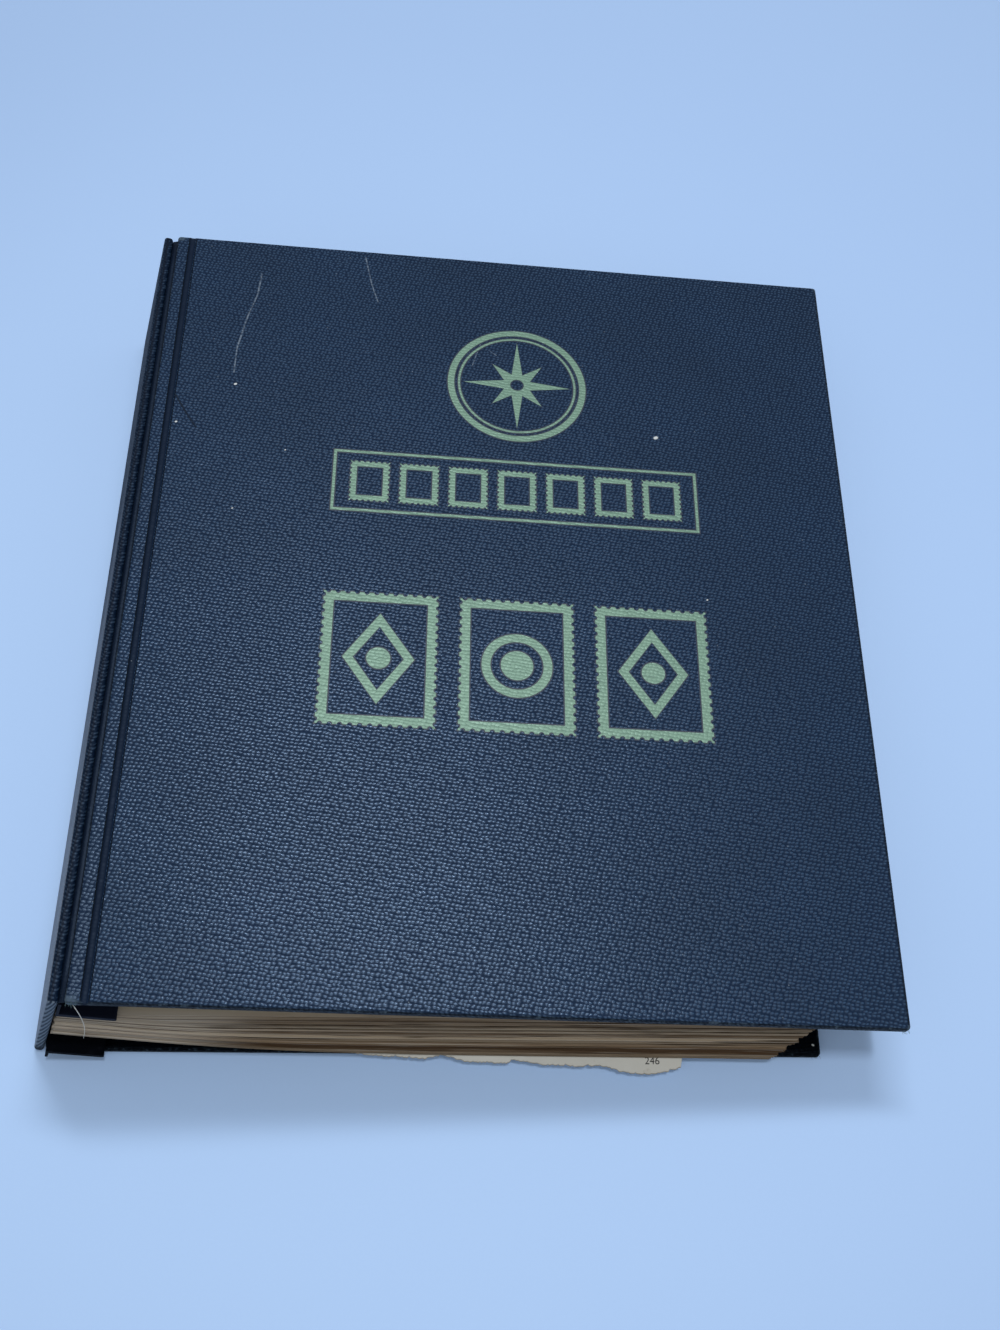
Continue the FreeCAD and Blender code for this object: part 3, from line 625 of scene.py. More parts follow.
def leaf_sheets(name, shares, count, seed, flats):
    """Leaves between two shares of the stack as thin separate sheets, slightly out of line."""
    low, high = shares
    rng = random.Random(seed)
    points, faces, sides = [], [], []
    values = {"leaf_level": [], "leaf_tone": [], "leaf_run": [], "leaf_tail": []}
    for leaf in range(count):
        share = low + (high - low) * (leaf + 0.5) / count
        bottom, top = [low + (high - low) * (leaf + edge) / count for edge in LEAF_FACES]
        trim = FORE_STEP * (1 - share) ** 2 + FORE_DRIFT * drift(share, FORE_SEED) + FORE_TRIM
        trim = max(LEAST_TRIM, trim + rng.uniform(0, FORE_JITTER))
        tail = -COVER_HALF - TAIL_HANG + TAIL_STEP * share + TAIL_DRIFT * drift(share, TAIL_SEED)
        tail += rng.uniform(-TAIL_JITTER, TAIL_JITTER)
        slant = rng.uniform(-SLANT_JITTER, SLANT_JITTER) - LOW_SLANT * (1 - share) ** 2
        tone = rng.random()
        lines = [leaf_line(edge, trim, flats) for edge in (bottom, top)]
        base, steps = len(points), len(lines[0])
        runs = [0.0]
        for step in reversed(range(steps - 1)):
            runs.insert(0, runs[0] + math.dist(lines[1][step], lines[1][step + 1]))
        for step in range(steps):
            y = tail + slant * step / steps
            for line in lines:
                x, z = line[step]
                points += [(x, y, z), (x, y + LEAF_HEIGHT, z)]
            values["leaf_tail"] += [y] * 4
            values["leaf_run"] += [runs[step]] * 4
        values["leaf_level"] += [share] * (4 * steps)
        values["leaf_tone"] += [tone] * (4 * steps)
        for step in range(steps - 1):
            a = base + 4 * step
            b = a + 4
            faces += [(a, a + 1, b + 1, b), (a + 2, b + 2, b + 3, a + 3)]
            faces += [(a, b, b + 2, a + 2), (a + 1, a + 3, b + 3, b + 1)]
            sides += [1.0, 1.0, 0.0, 0.0]
        last = base + 4 * (steps - 1)
        faces += [(base, base + 2, base + 3, base + 1), (last, last + 1, last + 3, last + 2)]
        sides += [0.0, 0.0]
    made = piece(name, points, faces, LEAF)
    for label, kept in values.items():
        keep_values(made, label, kept)
    keep_values(made, "leaf_side", sides, "FACE")
    return made


# Colours of the leaves; the bands are darker and lighter stripes on their edges, from the lowest leaf to the
# top one
EDGE_BANDS = [
    (0.00, (0.230, 0.185, 0.135)), (0.10, (0.255, 0.210, 0.156)), (0.16, (0.055, 0.031, 0.014)),
    (0.25, (0.078, 0.046, 0.022)), (0.33, (0.195, 0.150, 0.105)), (0.42, (0.290, 0.245, 0.190)),
    (0.52, (0.315, 0.272, 0.216)), (0.56, (0.100, 0.068, 0.041)), (0.62, (0.285, 0.238, 0.186)),
    (0.71, (0.335, 0.294, 0.236)), (0.76, (0.050, 0.033, 0.020)), (0.80, (0.275, 0.230, 0.178)),
    (0.90, (0.150, 0.112, 0.075)), (1.00, (0.350, 0.306, 0.250)),
]
EDGE_LIFT = (1.20, 1.11, 1.00)
EDGE_CLEAN = (0.510, 0.448, 0.370)
STREAK_DARK = (0.036, 0.020, 0.009)
STREAK_PALE = (0.400, 0.352, 0.285)
EDGE_SOIL = (0.036, 0.022, 0.012)
PAGE_DARK = (0.50, 0.44, 0.335)
PAGE_LIGHT = (0.60, 0.545, 0.44)
PAGE_RIM = (0.36, 0.285, 0.19)
PAGE_FOX = (0.30, 0.19, 0.09)
BOX_INK = (0.075, 0.070, 0.070)

# The grid of printed boxes across and along a leaf: middle, pitch, half a box and reach
BOXES_ACROSS = (97.0, 41.0, 15.5, 82.0)
BOXES_ALONG = (-4.5, 46.0, 18.0, 115.0)


def banded_edge(graph, level):
    """The darker and lighter bands, by height in the stack."""
    bands = graph.node("ValToRGB", {0: level})
    ramp = bands.color_ramp.elements
    for position, _ in EDGE_BANDS[1:-1]:
        ramp.new(position)
    for stop, (position, tint) in zip(ramp, EDGE_BANDS):
        stop.position = position
        stop.color = (*(lift * part for lift, part in zip(EDGE_LIFT, tint)), 1.0)
    return bands.outputs["Color"]


def printed_boxes(graph, run, y):
    """1 on the thin outlines of the boxes."""
    beyond, within = [], []
    for axis, (middle, pitch, half, reach) in ((run, BOXES_ACROSS), (y, BOXES_ALONG)):
        offset = graph.minus(axis, middle)
        wrapped = graph.math("WRAP", offset, pitch / 2, -pitch / 2)
        beyond.append(graph.minus(graph.magnitude(wrapped), half))
        within.append(graph.math("LESS_THAN", graph.magnitude(offset), reach))
    outline = graph.magnitude(graph.math("MAXIMUM", *beyond))
    return graph.times(graph.ease(outline, 0.26, 0.12), graph.times(*within))


def leaf_material():
    """Aged album leaves: cream faces with faint printed boxes, and streaked edges in darker and lighter
    bands.
    """
    graph = Graph("leaf_paper")
    place = graph.local(WORLD)
    y = graph.split(place)[1]
    level, tone, run, tail, side = [
        graph.node("Attribute", attribute_name="leaf_" + kept).outputs["Fac"]
        for kept in ("level", "tone", "run", "tail", "side")
    ]
    along = graph.plus(run, y)
    inward = graph.minus(y, tail)
    rimward = graph.math("MINIMUM", inward, graph.minus(LEAF_HEIGHT, inward))
    rimward = graph.math("MINIMUM", run, rimward)

    slip = graph.stretched((along, level), (0.02, 9.0), 4.0, 0.6)
    streak = graph.stretched((along, level), (0.016, 62.0), 3.0, 0.6)
    hair = graph.stretched((along, level), (0.05, 170.0), 2.0, 0.6)
    edge = banded_edge(graph, graph.plus(level, graph.span(slip, -0.055, 0.055)))
    edge = graph.over(edge, graph.ease(run, 165.0, 200.0), 0.72, EDGE_CLEAN)
    edge = graph.over(edge, graph.ease(streak, 0.55, 0.66), 0.80, STREAK_DARK)
    edge = graph.over(edge, graph.ease(streak, 0.44, 0.34), 0.60, STREAK_PALE)
    edge = graph.over(edge, graph.ease(tone, 0.70, 0.98), 0.60, EDGE_SOIL)

    cloud = graph.noise(place, 0.012, 4.0, 0.6)
    fibre = graph.noise(place, 1.6, 4.0, 0.7)
    fox = graph.noise(place, 0.10, 5.0, 0.6)
    page = graph.mix(cloud, PAGE_DARK, PAGE_LIGHT)
    page = graph.over(page, graph.ease(rimward, 26.0, 0.0), 0.55, PAGE_RIM)
    page = graph.over(page, graph.ease(fox, 0.66, 0.80), 0.45, PAGE_FOX)
    page = graph.over(page, printed_boxes(graph, run, y), 0.62, BOX_INK)

    flat = graph.times(side, graph.ease(rimward, 0.5, 2.4))
    colour = graph.mix(flat, edge, page)
    relief = graph.bump(graph.between(flat, hair, fibre), 0.06)
    return graph.shade(colour, graph.span(fibre, 0.78, 0.93), relief, Specular_IOR_Level=0.2)


LEAF = leaf_material()
PLAIN_FLATS = [0.02, 0.08, 0.2, 0.4, 0.6, 0.8, 0.93, 1.0]
HALF_GAP = 0.05 / (BLOCK_TOP - BLOCK_LOW)
SECTION_SEED = 40
for index in range(SECTIONS):
    section = f"leaf_section_{index + 1}"
    ends = (SECTION_SHARE * index / SECTIONS + HALF_GAP, SECTION_SHARE * (index + 1) / SECTIONS - HALF_GAP)
    leaves = leaf_sheets(f"leaves_{index + 1}", ends, LEAVES_IN_SECTION, SECTION_SEED + index, PLAIN_FLATS)
    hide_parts(section)
    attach(leaves, "binding")

# The front leaves and the title leaf are sheets that cross the crease they turn at
TURN_FLATS = [step / 60 for step in range(1, 19)] + [0.4, 0.55, 0.7, 0.85, 0.95, 1.0]
TURN_ENDS = (SECTION_SHARE + HALF_GAP, 1 - HALF_GAP)
TURN_SEED = 60
turning = leaf_sheets("turning_sheets", TURN_ENDS, LEAVES_IN_FRONT + 1, TURN_SEED, TURN_FLATS)
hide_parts("front_leaf_stubs", "front_leaves", "title_leaf")
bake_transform(turning)

# Torn leaf
TORN_EDGE = [
    (-41.2, -142.6), (-33.1, -148.7), (-26.8, -149.6), (-17.4, -150.5), (-2.4, -151.3), (2.7, -150.1),
    (10.6, -152.1), (23.6, -152.6), (25.8, -151.4), (34.9, -152.8), (47.9, -153.3), (54.0, -152.9),
    (59.5, -154.2), (60.3, -154.9), (69.0, -155.6), (75.6, -154.8), (80.3, -153.4), (81.1, -149.0),
]
TORN_CORNER = (84.8, -146.5)
TORN_HEAD = 113.0
TORN_LOW = 4.62
TORN_THICK = 0.2
TORN_DROOP = 0.10
TORN_PITCH = 0.55
TORN_JITTER = 0.22
TORN_NICKS = 0.08
TORN_FRINGE = 0.6
TORN_DEPTHS = [0.0, 0.25, 0.7, 2.0, 5.0, 12.0]
TORN_DARK = (0.520, 0.505, 0.455)
TORN_LIGHT = (0.650, 0.640, 0.590)
TORN_FOX = (0.26, 0.19, 0.11)
TORN_RIM_DARK = (0.145, 0.115, 0.080)


def torn_material():
    graph = Graph("torn_paper")
    place = graph.local(WORLD)
    cloud = graph.noise(place, 0.05, 4.0, 0.6)
    fibre = graph.noise(place, 1.4, 4.0, 0.7)
    fox = graph.noise(place, 0.30, 4.0, 0.6)
    rim = graph.node("Attribute", attribute_name="torn_rim").outputs["Fac"]
    paper = graph.mix(cloud, TORN_DARK, TORN_LIGHT)
    paper = graph.over(paper, graph.ease(fox, 0.62, 0.78), 0.35, TORN_FOX)
    # a dark band is painted along the torn edge
    dark_torn_rim = graph.times(graph.ease(rim, 0.35, 0.95), graph.span(fibre, 0.4, 1.0))
    paper = graph.mix(dark_torn_rim, paper, TORN_RIM_DARK)
    return graph.shade(paper, graph.span(fibre, 0.80, 0.94), graph.bump(fibre, 0.05), Specular_IOR_Level=0.2)


def torn_face(y):
    """Height of the torn leaf's lower face."""
    return TORN_LOW - TORN_DROOP * max(0.0, -COVER_HALF - y)


def torn_rim():
    """The torn edge with small ragged bites."""
    rng = random.Random(7)
    ragged = []
    for (ax, ay), (bx, by) in zip(TORN_EDGE, TORN_EDGE[1:]):
        steps = max(2, int(math.hypot(bx - ax, by - ay) / TORN_PITCH))
        for step in range(steps):
            share = step / steps
            bite = rng.uniform(-TORN_JITTER, TORN_JITTER)
            bite += rng.uniform(0.1, 0.5) if rng.random() < TORN_NICKS else 0
            ragged.append((ax + (bx - ax) * share, ay + (by - ay) * share + (bite if step else 0)))
    return ragged + [TORN_EDGE[-1], TORN_CORNER]


def torn_leaf():
    """A leaf torn along its tail edge, its rim bent a little down past the back cover."""
    ragged = torn_rim()
    points, rims, faces = [], [], []
    for layer in (0, 1):
        for x, edge in ragged:
            for depth in TORN_DEPTHS + [TORN_HEAD - edge]:
                y = edge + depth
                points.append((x, y, torn_face(y) + TORN_THICK * layer))
                rims.append(max(0.0, 1.0 - depth / TORN_FRINGE))
    rows, wide = len(ragged), len(TORN_DEPTHS) + 1
    size = rows * wide
    for row in range(rows - 1):
        for col in range(wide - 1):
            a, b = row * wide + col, (row + 1) * wide + col
            faces += [(a, a + 1, b + 1, b), (size + a, size + b, size + b + 1, size + a + 1)]
        a, b = row * wide, (row + 1) * wide
        faces.append((a, b, size + b, size + a))
        faces.append((a + wide - 1, size + a + wide - 1, size + b + wide - 1, b + wide - 1))
    for row in (0, rows - 1):
        for col in range(wide - 1):
            a = row * wide + col
            faces.append((a, a + 1, size + a + 1, size + a))
    made = piece("torn_sheet", points, faces, torn_material())
    keep_values(made, "torn_rim", rims)
    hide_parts("torn_leaf")
    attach(made, "binding")


torn_leaf()

# Page number
INK_DARK = (0.012, 0.012, 0.013)
INK_LIGHT = (0.045, 0.043, 0.042)
INK_RAISE = 0.01
INK_HALF = 0.012
NUMBER_SPOT = (68.6, -152.4)
NUMBER_SIZE = 3.3


def ink_material():
    graph = Graph("printing_ink")
    spread = graph.noise(graph.local(WORLD), 3.0)
    colour = graph.mix(spread, INK_DARK, INK_LIGHT)
    return graph.shade(colour, graph.span(spread, 0.6, 0.8), Specular_IOR_Level=0.2)


def solid_from(name, curve, finish, matrix, height):
    """A curve's mesh in a frame, at a height above its plane; sizes in millimetres."""
    holder = placed(name + "_curve", curve)
    bpy.context.view_layer.update()
    mesh = bpy.data.meshes.new_from_object(holder.evaluated_get(bpy.context.evaluated_depsgraph_get()))
    bpy.data.objects.remove(holder)
    mesh.transform(matrix @ Matrix.Scale(MM, 4) @ Matrix.Translation((0, 0, height)))
    mesh.materials.clear()
    mesh.materials.append(finish)
    mesh.name = name
    return placed(name, mesh)


def page_number(text):
    x, y = NUMBER_SPOT
    words = bpy.data.curves.new("page_number", "FONT")
    words.body = text
    words.size = NUMBER_SIZE
    words.extrude = INK_HALF
    number = solid_from("page_number", words, ink_material(), Matrix.Translation((x * MM, y * MM, 0)), 0.0)
    for vertex in number.data.vertices:
        vertex.co.z += (torn_face(vertex.co.y / MM) + TORN_THICK + INK_RAISE) * MM
    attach(number, "binding")


page_number("246")

# Hinge cloths
CLOTH_HALF = 148.4
CLOTH_THICK = 0.22
HINGE_ROWS = 25


def hinge_strip(name, node, frame_matrix, on_spine, on_cover):
    """Cloth glued to the spine's inside and to the cover, with one loose fold between."""
    line = [SPINE @ (Vector((x, 0, z)) * MM) for x, z in on_spine]
    line += [frame_matrix @ (Vector((x, 0, z)) * MM) for x, z in on_cover]
    points, faces = [], []
    rows = HINGE_ROWS
    for index, point in enumerate(line):
        along = (line[min(index + 1, len(line) - 1)] - line[max(index - 1, 0)]).normalized()
        side = Vector((-along.z, 0, along.x)) * CLOTH_THICK * MM
        for row in range(rows):
            y = -CLOTH_HALF + 2 * CLOTH_HALF * row / (rows - 1)
            for edge in (0, 1):
                spot = point + side * edge
                points.append((spot.x / MM, y, spot.z / MM))
    for index in range(len(line) - 1):
        for row in range(rows - 1):
            a, b = 2 * (index * rows + row), 2 * ((index + 1) * rows + row)
            faces += [(a, b, b + 2, a + 2), (a + 1, a + 3, b + 3, b + 1)]
        for row in (0, rows - 1):
            a, b = 2 * (index * rows + row), 2 * ((index + 1) * rows + row)
            faces.append((a, a + 1, b + 1, b))
    for index in (0, len(line) - 1):
        for row in range(rows - 1):
            a = 2 * (index * rows + row)
            faces.append((a, a + 2, a + 3, a + 1))
    made = piece(name, points, faces, HINGE, smooth=True)
    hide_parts(node)
    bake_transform(made)


hinge_strip("front_hinge_fold", "front_hinge_cloth", FRONT,
            [(3.28, 58.5), (3.28, 60.0), (3.28, 61.4), (3.24, 62.2)],
            [(0.62, -3.0), (0.62, -3.7), (1.0, -4.40), (3.0, -4.40), (6.4, -4.40)])
hinge_strip("back_hinge_fold", "back_hinge_cloth", BACK,
            [(3.28, 8.2), (3.28, 6.6), (3.28, 5.4), (3.30, 4.7)],
            [(2.6, -4.40), (3.6, -4.40), (5.0, -4.40), (6.4, -4.40)])

# Foil on the front cover: a star in a ring, a framed row of small stamps and three large stamps
FOIL_DARK = (0.120, 0.215, 0.165)
FOIL_LIGHT = (0.185, 0.305, 0.225)
FOIL_VALLEY = (0.090, 0.150, 0.130)
PRESSED_SHADE_DARK = (0.0060, 0.0120, 0.0280)
PRESSED_SHADE_LIGHT = (0.0140, 0.0260, 0.0520)
FOIL_HALF = 0.02
FOIL_RAISE = 0.03
BED_MARGIN = 0.45
STAR_POINTS = 8
HOLE_SHARE = 0.27
HOLE_STEPS = 6

# The design in millimetres: places, radii of rings and of the star, width and height of the rest
MIDDLE = 132.5
STAR_Y = 88
STAR_RADII = (20, 13, 5.2)
STAR_EYE = 2.6
OUTER_RING = (26, 23.6)
INNER_RING = (22.2, 21.4)
ROW_Y = 40
ROW_PITCH = 17.6
ROW_FRAME = (132, 26)
ROW_PANEL = (130, 24)
SMALL_STAMP = (14, 17)
SMALL_WINDOW = (9.4, 12.4)
SMALL_HOLES = 2.0
LARGE_Y = -31
LARGE_PITCH = 46.5
LARGE_STAMP = (39, 50)
LARGE_WINDOW = (32, 43)
LARGE_HOLES = 3.2
STAMP_RING = (12, 9)
STAMP_DISC = 5.5
STAMP_DIAMOND = (24, 34)
DIAMOND_WINDOW = (17, 24)
DIAMOND_DOT = 4


def foil_material():
    """Green foil over the pebbles, thin in the valleys and flaked off in spots."""
    graph = Graph("green_foil")
    place = graph.local(FRONT)
    height, each = pebbles(graph, place)
    cloud = graph.noise(place, 0.10, 4.0, 0.6)
    flecks = graph.noise(place, 1.3, 4.0, 0.7)
    colour = graph.mix(cloud, FOIL_DARK, FOIL_LIGHT)
    colour = graph.over(colour, graph.ease(height, 0.45, 0.10), 0.45, FOIL_VALLEY)
    colour = graph.mix(graph.ease(flecks, 0.70, 0.76), colour, NAVY_TOP_SHEEN)
    rough = graph.plus(graph.span(cloud, 0.40, 0.55), graph.span(each, -0.05, 0.05))
    return graph.shade(colour, rough, graph.bump(height, 0.10), Metallic=0.25, Specular_IOR_Level=0.5)


def pressed_shade_material():
    graph = Graph("pressed_shaded_leatherette")
    grain = graph.noise(graph.local(FRONT), 1.2)
    # the bed is painted darker than the cover, as pressed leather and as the painted shade of the impression
    colour = graph.mix(grain, PRESSED_SHADE_DARK, PRESSED_SHADE_LIGHT)
    return graph.shade(colour, graph.span(grain, 0.45, 0.6), graph.bump(grain, 0.05), Specular_IOR_Level=0.5)


def filled(name, outlines, finish, height):
    """Flat outlines filled between them, as a thin raised mesh on the front cover."""
    curve = bpy.data.curves.new(name, "CURVE")
    curve.dimensions = "2D"
    curve.fill_mode = "BOTH"
    curve.extrude = FOIL_HALF
    for outline in outlines:
        spline = curve.splines.new("POLY")
        spline.points.add(len(outline) - 1)
        spline.use_cyclic_u = True
        for point, (x, y) in zip(spline.points, outline):
            point.co = (x, y, 0.0, 1.0)
    return solid_from(name, curve, finish, FRONT, height)


def around(cx, cy, radius, turn):
    return cx + radius * math.cos(turn), cy + radius * math.sin(turn)


def ring(cx, cy, radius, count=96):
    return [around(cx, cy, radius, math.tau * i / count) for i in range(count)]


def star(cx, cy, long, short, waist):
    """A star whose points are long and short by turns."""
    radii = (long, waist, short, waist)
    turns = [math.pi / 2 + math.pi * i / STAR_POINTS for i in range(2 * STAR_POINTS)]
    return [around(cx, cy, radii[i % 4], turn) for i, turn in enumerate(turns)]


def box(cx, cy, wide, high):
    return [(cx - wide / 2, cy - high / 2), (cx + wide / 2, cy - high / 2),
            (cx + wide / 2, cy + high / 2), (cx - wide / 2, cy + high / 2)]


def diamond(cx, cy, wide, high):
    return [(cx - wide / 2, cy), (cx, cy - high / 2), (cx + wide / 2, cy), (cx, cy + high / 2)]


def stamp(cx, cy, wide, high, pitch):
    """A rectangle with a stamp's perforated edge."""
    outline = []
    corners = box(cx, cy, wide, high)
    for (ax, ay), (bx, by) in zip(corners, corners[1:] + corners[:1]):
        length = math.hypot(bx - ax, by - ay)
        ux, uy = (bx - ax) / length, (by - ay) / length
        count = max(3, round(length / pitch))
        bite = HOLE_SHARE * length / count
        outline.append((ax, ay))
        for hole in range(count):
            middle = length * (hole + 0.5) / count
            for step in range(HOLE_STEPS + 1):
                along, inward = around(middle, 0, bite, math.pi * (1 - step / HOLE_STEPS))
                outline.append((ax + ux * along - uy * inward, ay + uy * along + ux * inward))
    return outline


def grown(sizes, grow):
    """Sizes with the growth added twice, once for each side."""
    return [size + 2 * grow for size in sizes]


def foil_outlines(grow):
    """The whole blocked design, each solid area made larger by grow on every side."""
    shapes = []
    for outside, inside in (OUTER_RING, INNER_RING):
        shapes += [ring(MIDDLE, STAR_Y, outside + grow), ring(MIDDLE, STAR_Y, inside - grow)]
    # the star's sharp points move out twice as far as its sides
    long, short = grown(STAR_RADII[:2], grow)
    shapes.append(star(MIDDLE, STAR_Y, long, short, STAR_RADII[2] + grow))
    shapes.append(ring(MIDDLE, STAR_Y, STAR_EYE - grow, 32))
    shapes += [box(MIDDLE, ROW_Y, *grown(ROW_FRAME, grow)), box(MIDDLE, ROW_Y, *grown(ROW_PANEL, -grow))]
    for step in range(-3, 4):
        cx = MIDDLE + ROW_PITCH * step
        shapes.append(stamp(cx, ROW_Y, *grown(SMALL_STAMP, grow), SMALL_HOLES))
        shapes.append(box(cx, ROW_Y, *grown(SMALL_WINDOW, -grow)))
    for step in (-1, 0, 1):
        cx = MIDDLE + LARGE_PITCH * step
        shapes.append(stamp(cx, LARGE_Y, *grown(LARGE_STAMP, grow), LARGE_HOLES))
        shapes.append(box(cx, LARGE_Y, *grown(LARGE_WINDOW, -grow)))
        if step == 0:
            shapes += [ring(cx, LARGE_Y, STAMP_RING[0] + grow), ring(cx, LARGE_Y, STAMP_RING[1] - grow)]
            shapes.append(ring(cx, LARGE_Y, STAMP_DISC + grow, 48))
        else:
            shapes.append(diamond(cx, LARGE_Y, *grown(STAMP_DIAMOND, grow)))
            shapes.append(diamond(cx, LARGE_Y, *grown(DIAMOND_WINDOW, -grow)))
            shapes.append(ring(cx, LARGE_Y, DIAMOND_DOT + grow, 48))
    return shapes


pressed = filled("foil_bed", foil_outlines(BED_MARGIN), pressed_shade_material(), -FACE_DROP)
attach(pressed, "front_cover")
foil = filled("foil_design", foil_outlines(0.0), foil_material(), -FACE_DROP + FOIL_RAISE)
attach(foil, "front_cover")

# Threads
THREAD_SIDES = 5
THREAD_TAPER = 0.6
LOOSE_RADIUS = 0.15
FRAY_RADIUS = 0.07


def thread_material(name, dark, light):
    graph = Graph(name)
    place = graph.local(WORLD)
    _, y, z = graph.split(place)
    twist = graph.sine(graph.times(graph.plus(z, y), 14.0))
    fuzz = graph.noise(place, 2.0)
    colour = graph.mix(graph.span(twist, 0.2, 0.8), dark, light)
    return graph.shade(colour, graph.span(fuzz, 0.75, 0.92), Specular_IOR_Level=0.2)


PALE_THREAD = thread_material("pale_thread", (0.52, 0.51, 0.45), (0.80, 0.78, 0.70))
BLUE_THREAD = thread_material("blue_thread", (0.030, 0.060, 0.075), (0.110, 0.165, 0.175))


def fibres(name, paths, radius, finish, body, matrix=WORLD):
    """Thin tapering threads along paths of points in millimetres."""
    points, faces = [], []
    sides = THREAD_SIDES
    for path in paths:
        base = len(points)
        line = [Vector(p) for p in path]
        for index, spot in enumerate(line):
            along = (line[min(index + 1, len(line) - 1)] - line[max(index - 1, 0)]).normalized()
            first = along.orthogonal().normalized()
            second = along.cross(first)
            thick = radius * (1 - THREAD_TAPER * index / (len(line) - 1))
            for side in range(sides):
                turn = math.tau * side / sides
                points.append(tuple(spot + (first * math.cos(turn) + second * math.sin(turn)) * thick))
        for index in range(len(line) - 1):
            a, b = base + index * sides, base + (index + 1) * sides
            for side in range(sides):
                faces.append((a + side, a + (side + 1) % sides, b + (side + 1) % sides, b + side))
        faces.append(tuple(base + side for side in range(sides)))
        end = base + (len(line) - 1) * sides
        faces.append(tuple(end + side for side in reversed(range(sides))))
    made = piece(name, points, faces, finish, matrix, smooth=True)
    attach(made, body)


def bowed(start, end, bow, steps=8):
    """Points from start to end, pushed aside in the middle by bow."""
    a, b, side = Vector(start), Vector(end), Vector(bow)
    return [tuple(a.lerp(b, i / steps) + side * math.sin(math.pi * i / steps)) for i in range(steps + 1)]


def frays(name, spots, count, seed, body, matrix):
    """Short frayed ends about some spots: place, direction and size of each."""
    rng = random.Random(seed)
    paths = []
    for _ in range(count):
        (x, y, z), (dx, dy, dz), size = rng.choice(spots)
        start = Vector((x + rng.uniform(-size, size), y, z + rng.uniform(-size, size) * 0.5))
        way = Vector((dx + rng.uniform(-0.7, 0.7), dy, dz + rng.uniform(-0.7, 0.7))).normalized()
        end = start + way * rng.uniform(0.6, 2.0)
        paths.append(bowed(start, end, (rng.uniform(-0.3, 0.3), 0, rng.uniform(-0.3, 0.3)), 4))
    fibres(name, paths, FRAY_RADIUS, BLUE_THREAD, body, matrix)


# A long pale thread hangs from the hinge at the tail, and short ends fray at the covers' corners
LOOSE_PATH = bowed((-103.6, -148.6, 58.4), (-108.9, -150.0, 23.5), (1.6, -0.4, 0))
FRONT_FRAYS = [((2.6, -148.8, -1.6), (0, -1, -0.3), 1.6), ((251.8, -148.6, -2.4), (0.6, -1, -0.3), 1.4)]
BACK_FRAYS = [((252.2, 148.4, -2.2), (0.7, 1, 0), 1.3), ((3.0, 148.6, -2.0), (0, 1, 0), 1.4)]
fibres("loose_thread", [LOOSE_PATH], LOOSE_RADIUS, PALE_THREAD, "binding")
frays("front_frays", FRONT_FRAYS, 22, 3, "front_cover", FRONT)
frays("back_frays", BACK_FRAYS, 18, 5, "back_cover", BACK)

# Floor, light and camera
FLOOR_SIZE = 50
FLOOR_POOL_LIT = (0.440, 0.610, 0.890)
FLOOR_POOL_DIM = (0.375, 0.525, 0.790)
FLOOR_SPECK = (0.30, 0.42, 0.64)
FLOOR_LIGHT_POOL = (-60.0, -50.0, 0.0)
SKY_COLOUR = (0.93, 0.97, 1.0, 1.0)
SKY_FRONT = 0.70
SKY_BEHIND = 0.28
SKY_REACH = 0.7
LAMP_COLOUR = (0.94, 0.97, 1.0)
CAMERA_SPOT = (0.015914, -0.254860, 0.472983)
CAMERA_TILT = math.radians(27.9526)
CAMERA_ROLL = math.radians(-0.763)
CAMERA_TURN = math.radians(0.306)
CAMERA_SENSOR = 36.0
CAMERA_LENS = 38.529


def floor_material():
    graph = Graph("table_top")
    place = graph.local(WORLD)
    speck = graph.noise(place, 0.9)
    # a painted pool of light: the floor is lighter about one spot and darker further out
    away = graph.vector("DISTANCE", place, FLOOR_LIGHT_POOL)
    colour = graph.mix(graph.ease(away, 90.0, 420.0), FLOOR_POOL_LIT, FLOOR_POOL_DIM)
    colour = graph.over(colour, speck, 0.08, FLOOR_SPECK)
    return graph.shade(colour, graph.span(speck, 0.60, 0.70), Specular_IOR_Level=0.2)


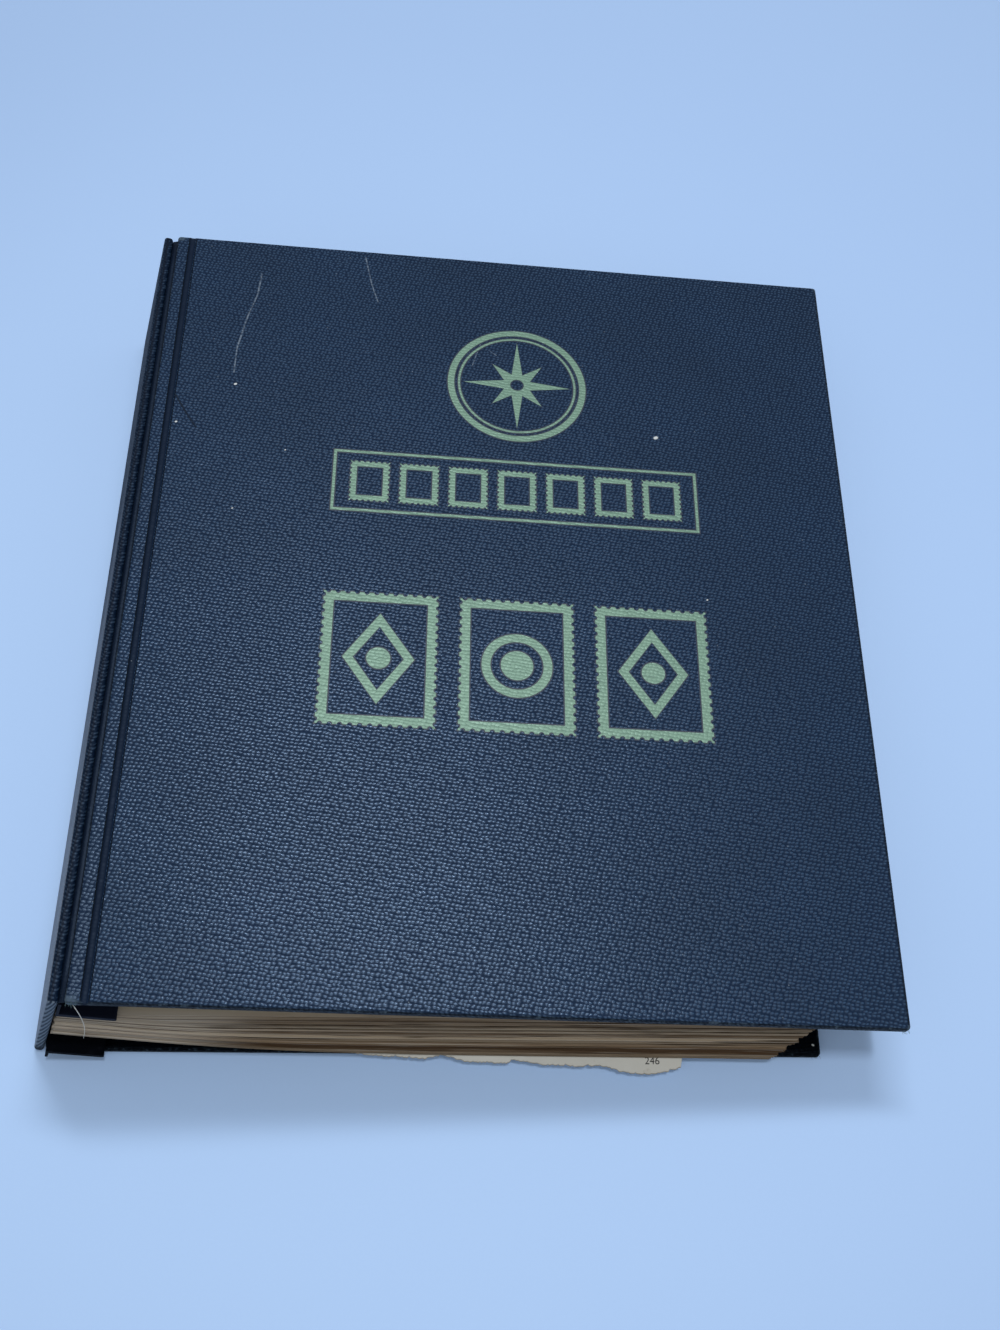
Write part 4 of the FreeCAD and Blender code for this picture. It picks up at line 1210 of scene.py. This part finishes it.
def soft_sky():
    """A world that is brighter on the viewer's side than behind the album."""
    sky = bpy.data.worlds.new("studio")
    sky.use_nodes = True
    nodes, links = sky.node_tree.nodes, sky.node_tree.links
    toward = nodes.new("ShaderNodeTexCoord").outputs["Generated"]
    parts = nodes.new("ShaderNodeSeparateXYZ")
    level = nodes.new("ShaderNodeMapRange")
    limits = {"From Min": -SKY_REACH, "From Max": SKY_REACH, "To Min": SKY_FRONT, "To Max": SKY_BEHIND}
    for key, value in limits.items():
        level.inputs[key].default_value = value
    links.new(toward, parts.inputs[0])
    links.new(parts.outputs["Y"], level.inputs["Value"])
    links.new(level.outputs["Result"], nodes["Background"].inputs["Strength"])
    nodes["Background"].inputs["Color"].default_value = SKY_COLOUR
    bpy.context.scene.world = sky


def soft_light(name, spot, target, wide, high, power):
    light = bpy.data.lights.new(name, "AREA")
    light.shape = "RECTANGLE"
    light.size = wide
    light.size_y = high
    light.energy = power
    light.color = LAMP_COLOUR
    holder = placed(name, light)
    holder.location = spot
    holder.rotation_euler = (Vector(target) - Vector(spot)).to_track_quat("-Z", "Y").to_euler()


floor_mesh = bpy.data.meshes.new("table_top")
floor_mesh.from_pydata([(x, y, 0) for x, y in box(0, 0, FLOOR_SIZE, FLOOR_SIZE)], [], [(0, 1, 2, 3)])
floor_mesh.materials.append(floor_material())
floor = placed("table_top", floor_mesh)

soft_sky()
soft_light("overhead", (0.08, 0.25, 1.0), (0.0, 0.0, 0.0), 0.42, 0.12, 4.4)
soft_light("ceiling", (0.22, -0.20, 1.6), (0.05, -0.15, 0.0), 0.18, 0.08, 6.6)

view = bpy.data.cameras.new("camera")
view.sensor_fit = "AUTO"
view.sensor_width = CAMERA_SENSOR
view.lens = CAMERA_LENS
camera = placed("camera", view)
turned = Euler((CAMERA_TILT, CAMERA_ROLL, CAMERA_TURN)).to_matrix().to_4x4()
camera.matrix_world = Matrix.Translation(CAMERA_SPOT) @ turned
bpy.context.scene.camera = camera
bpy.context.scene.view_settings.view_transform = "Standard"
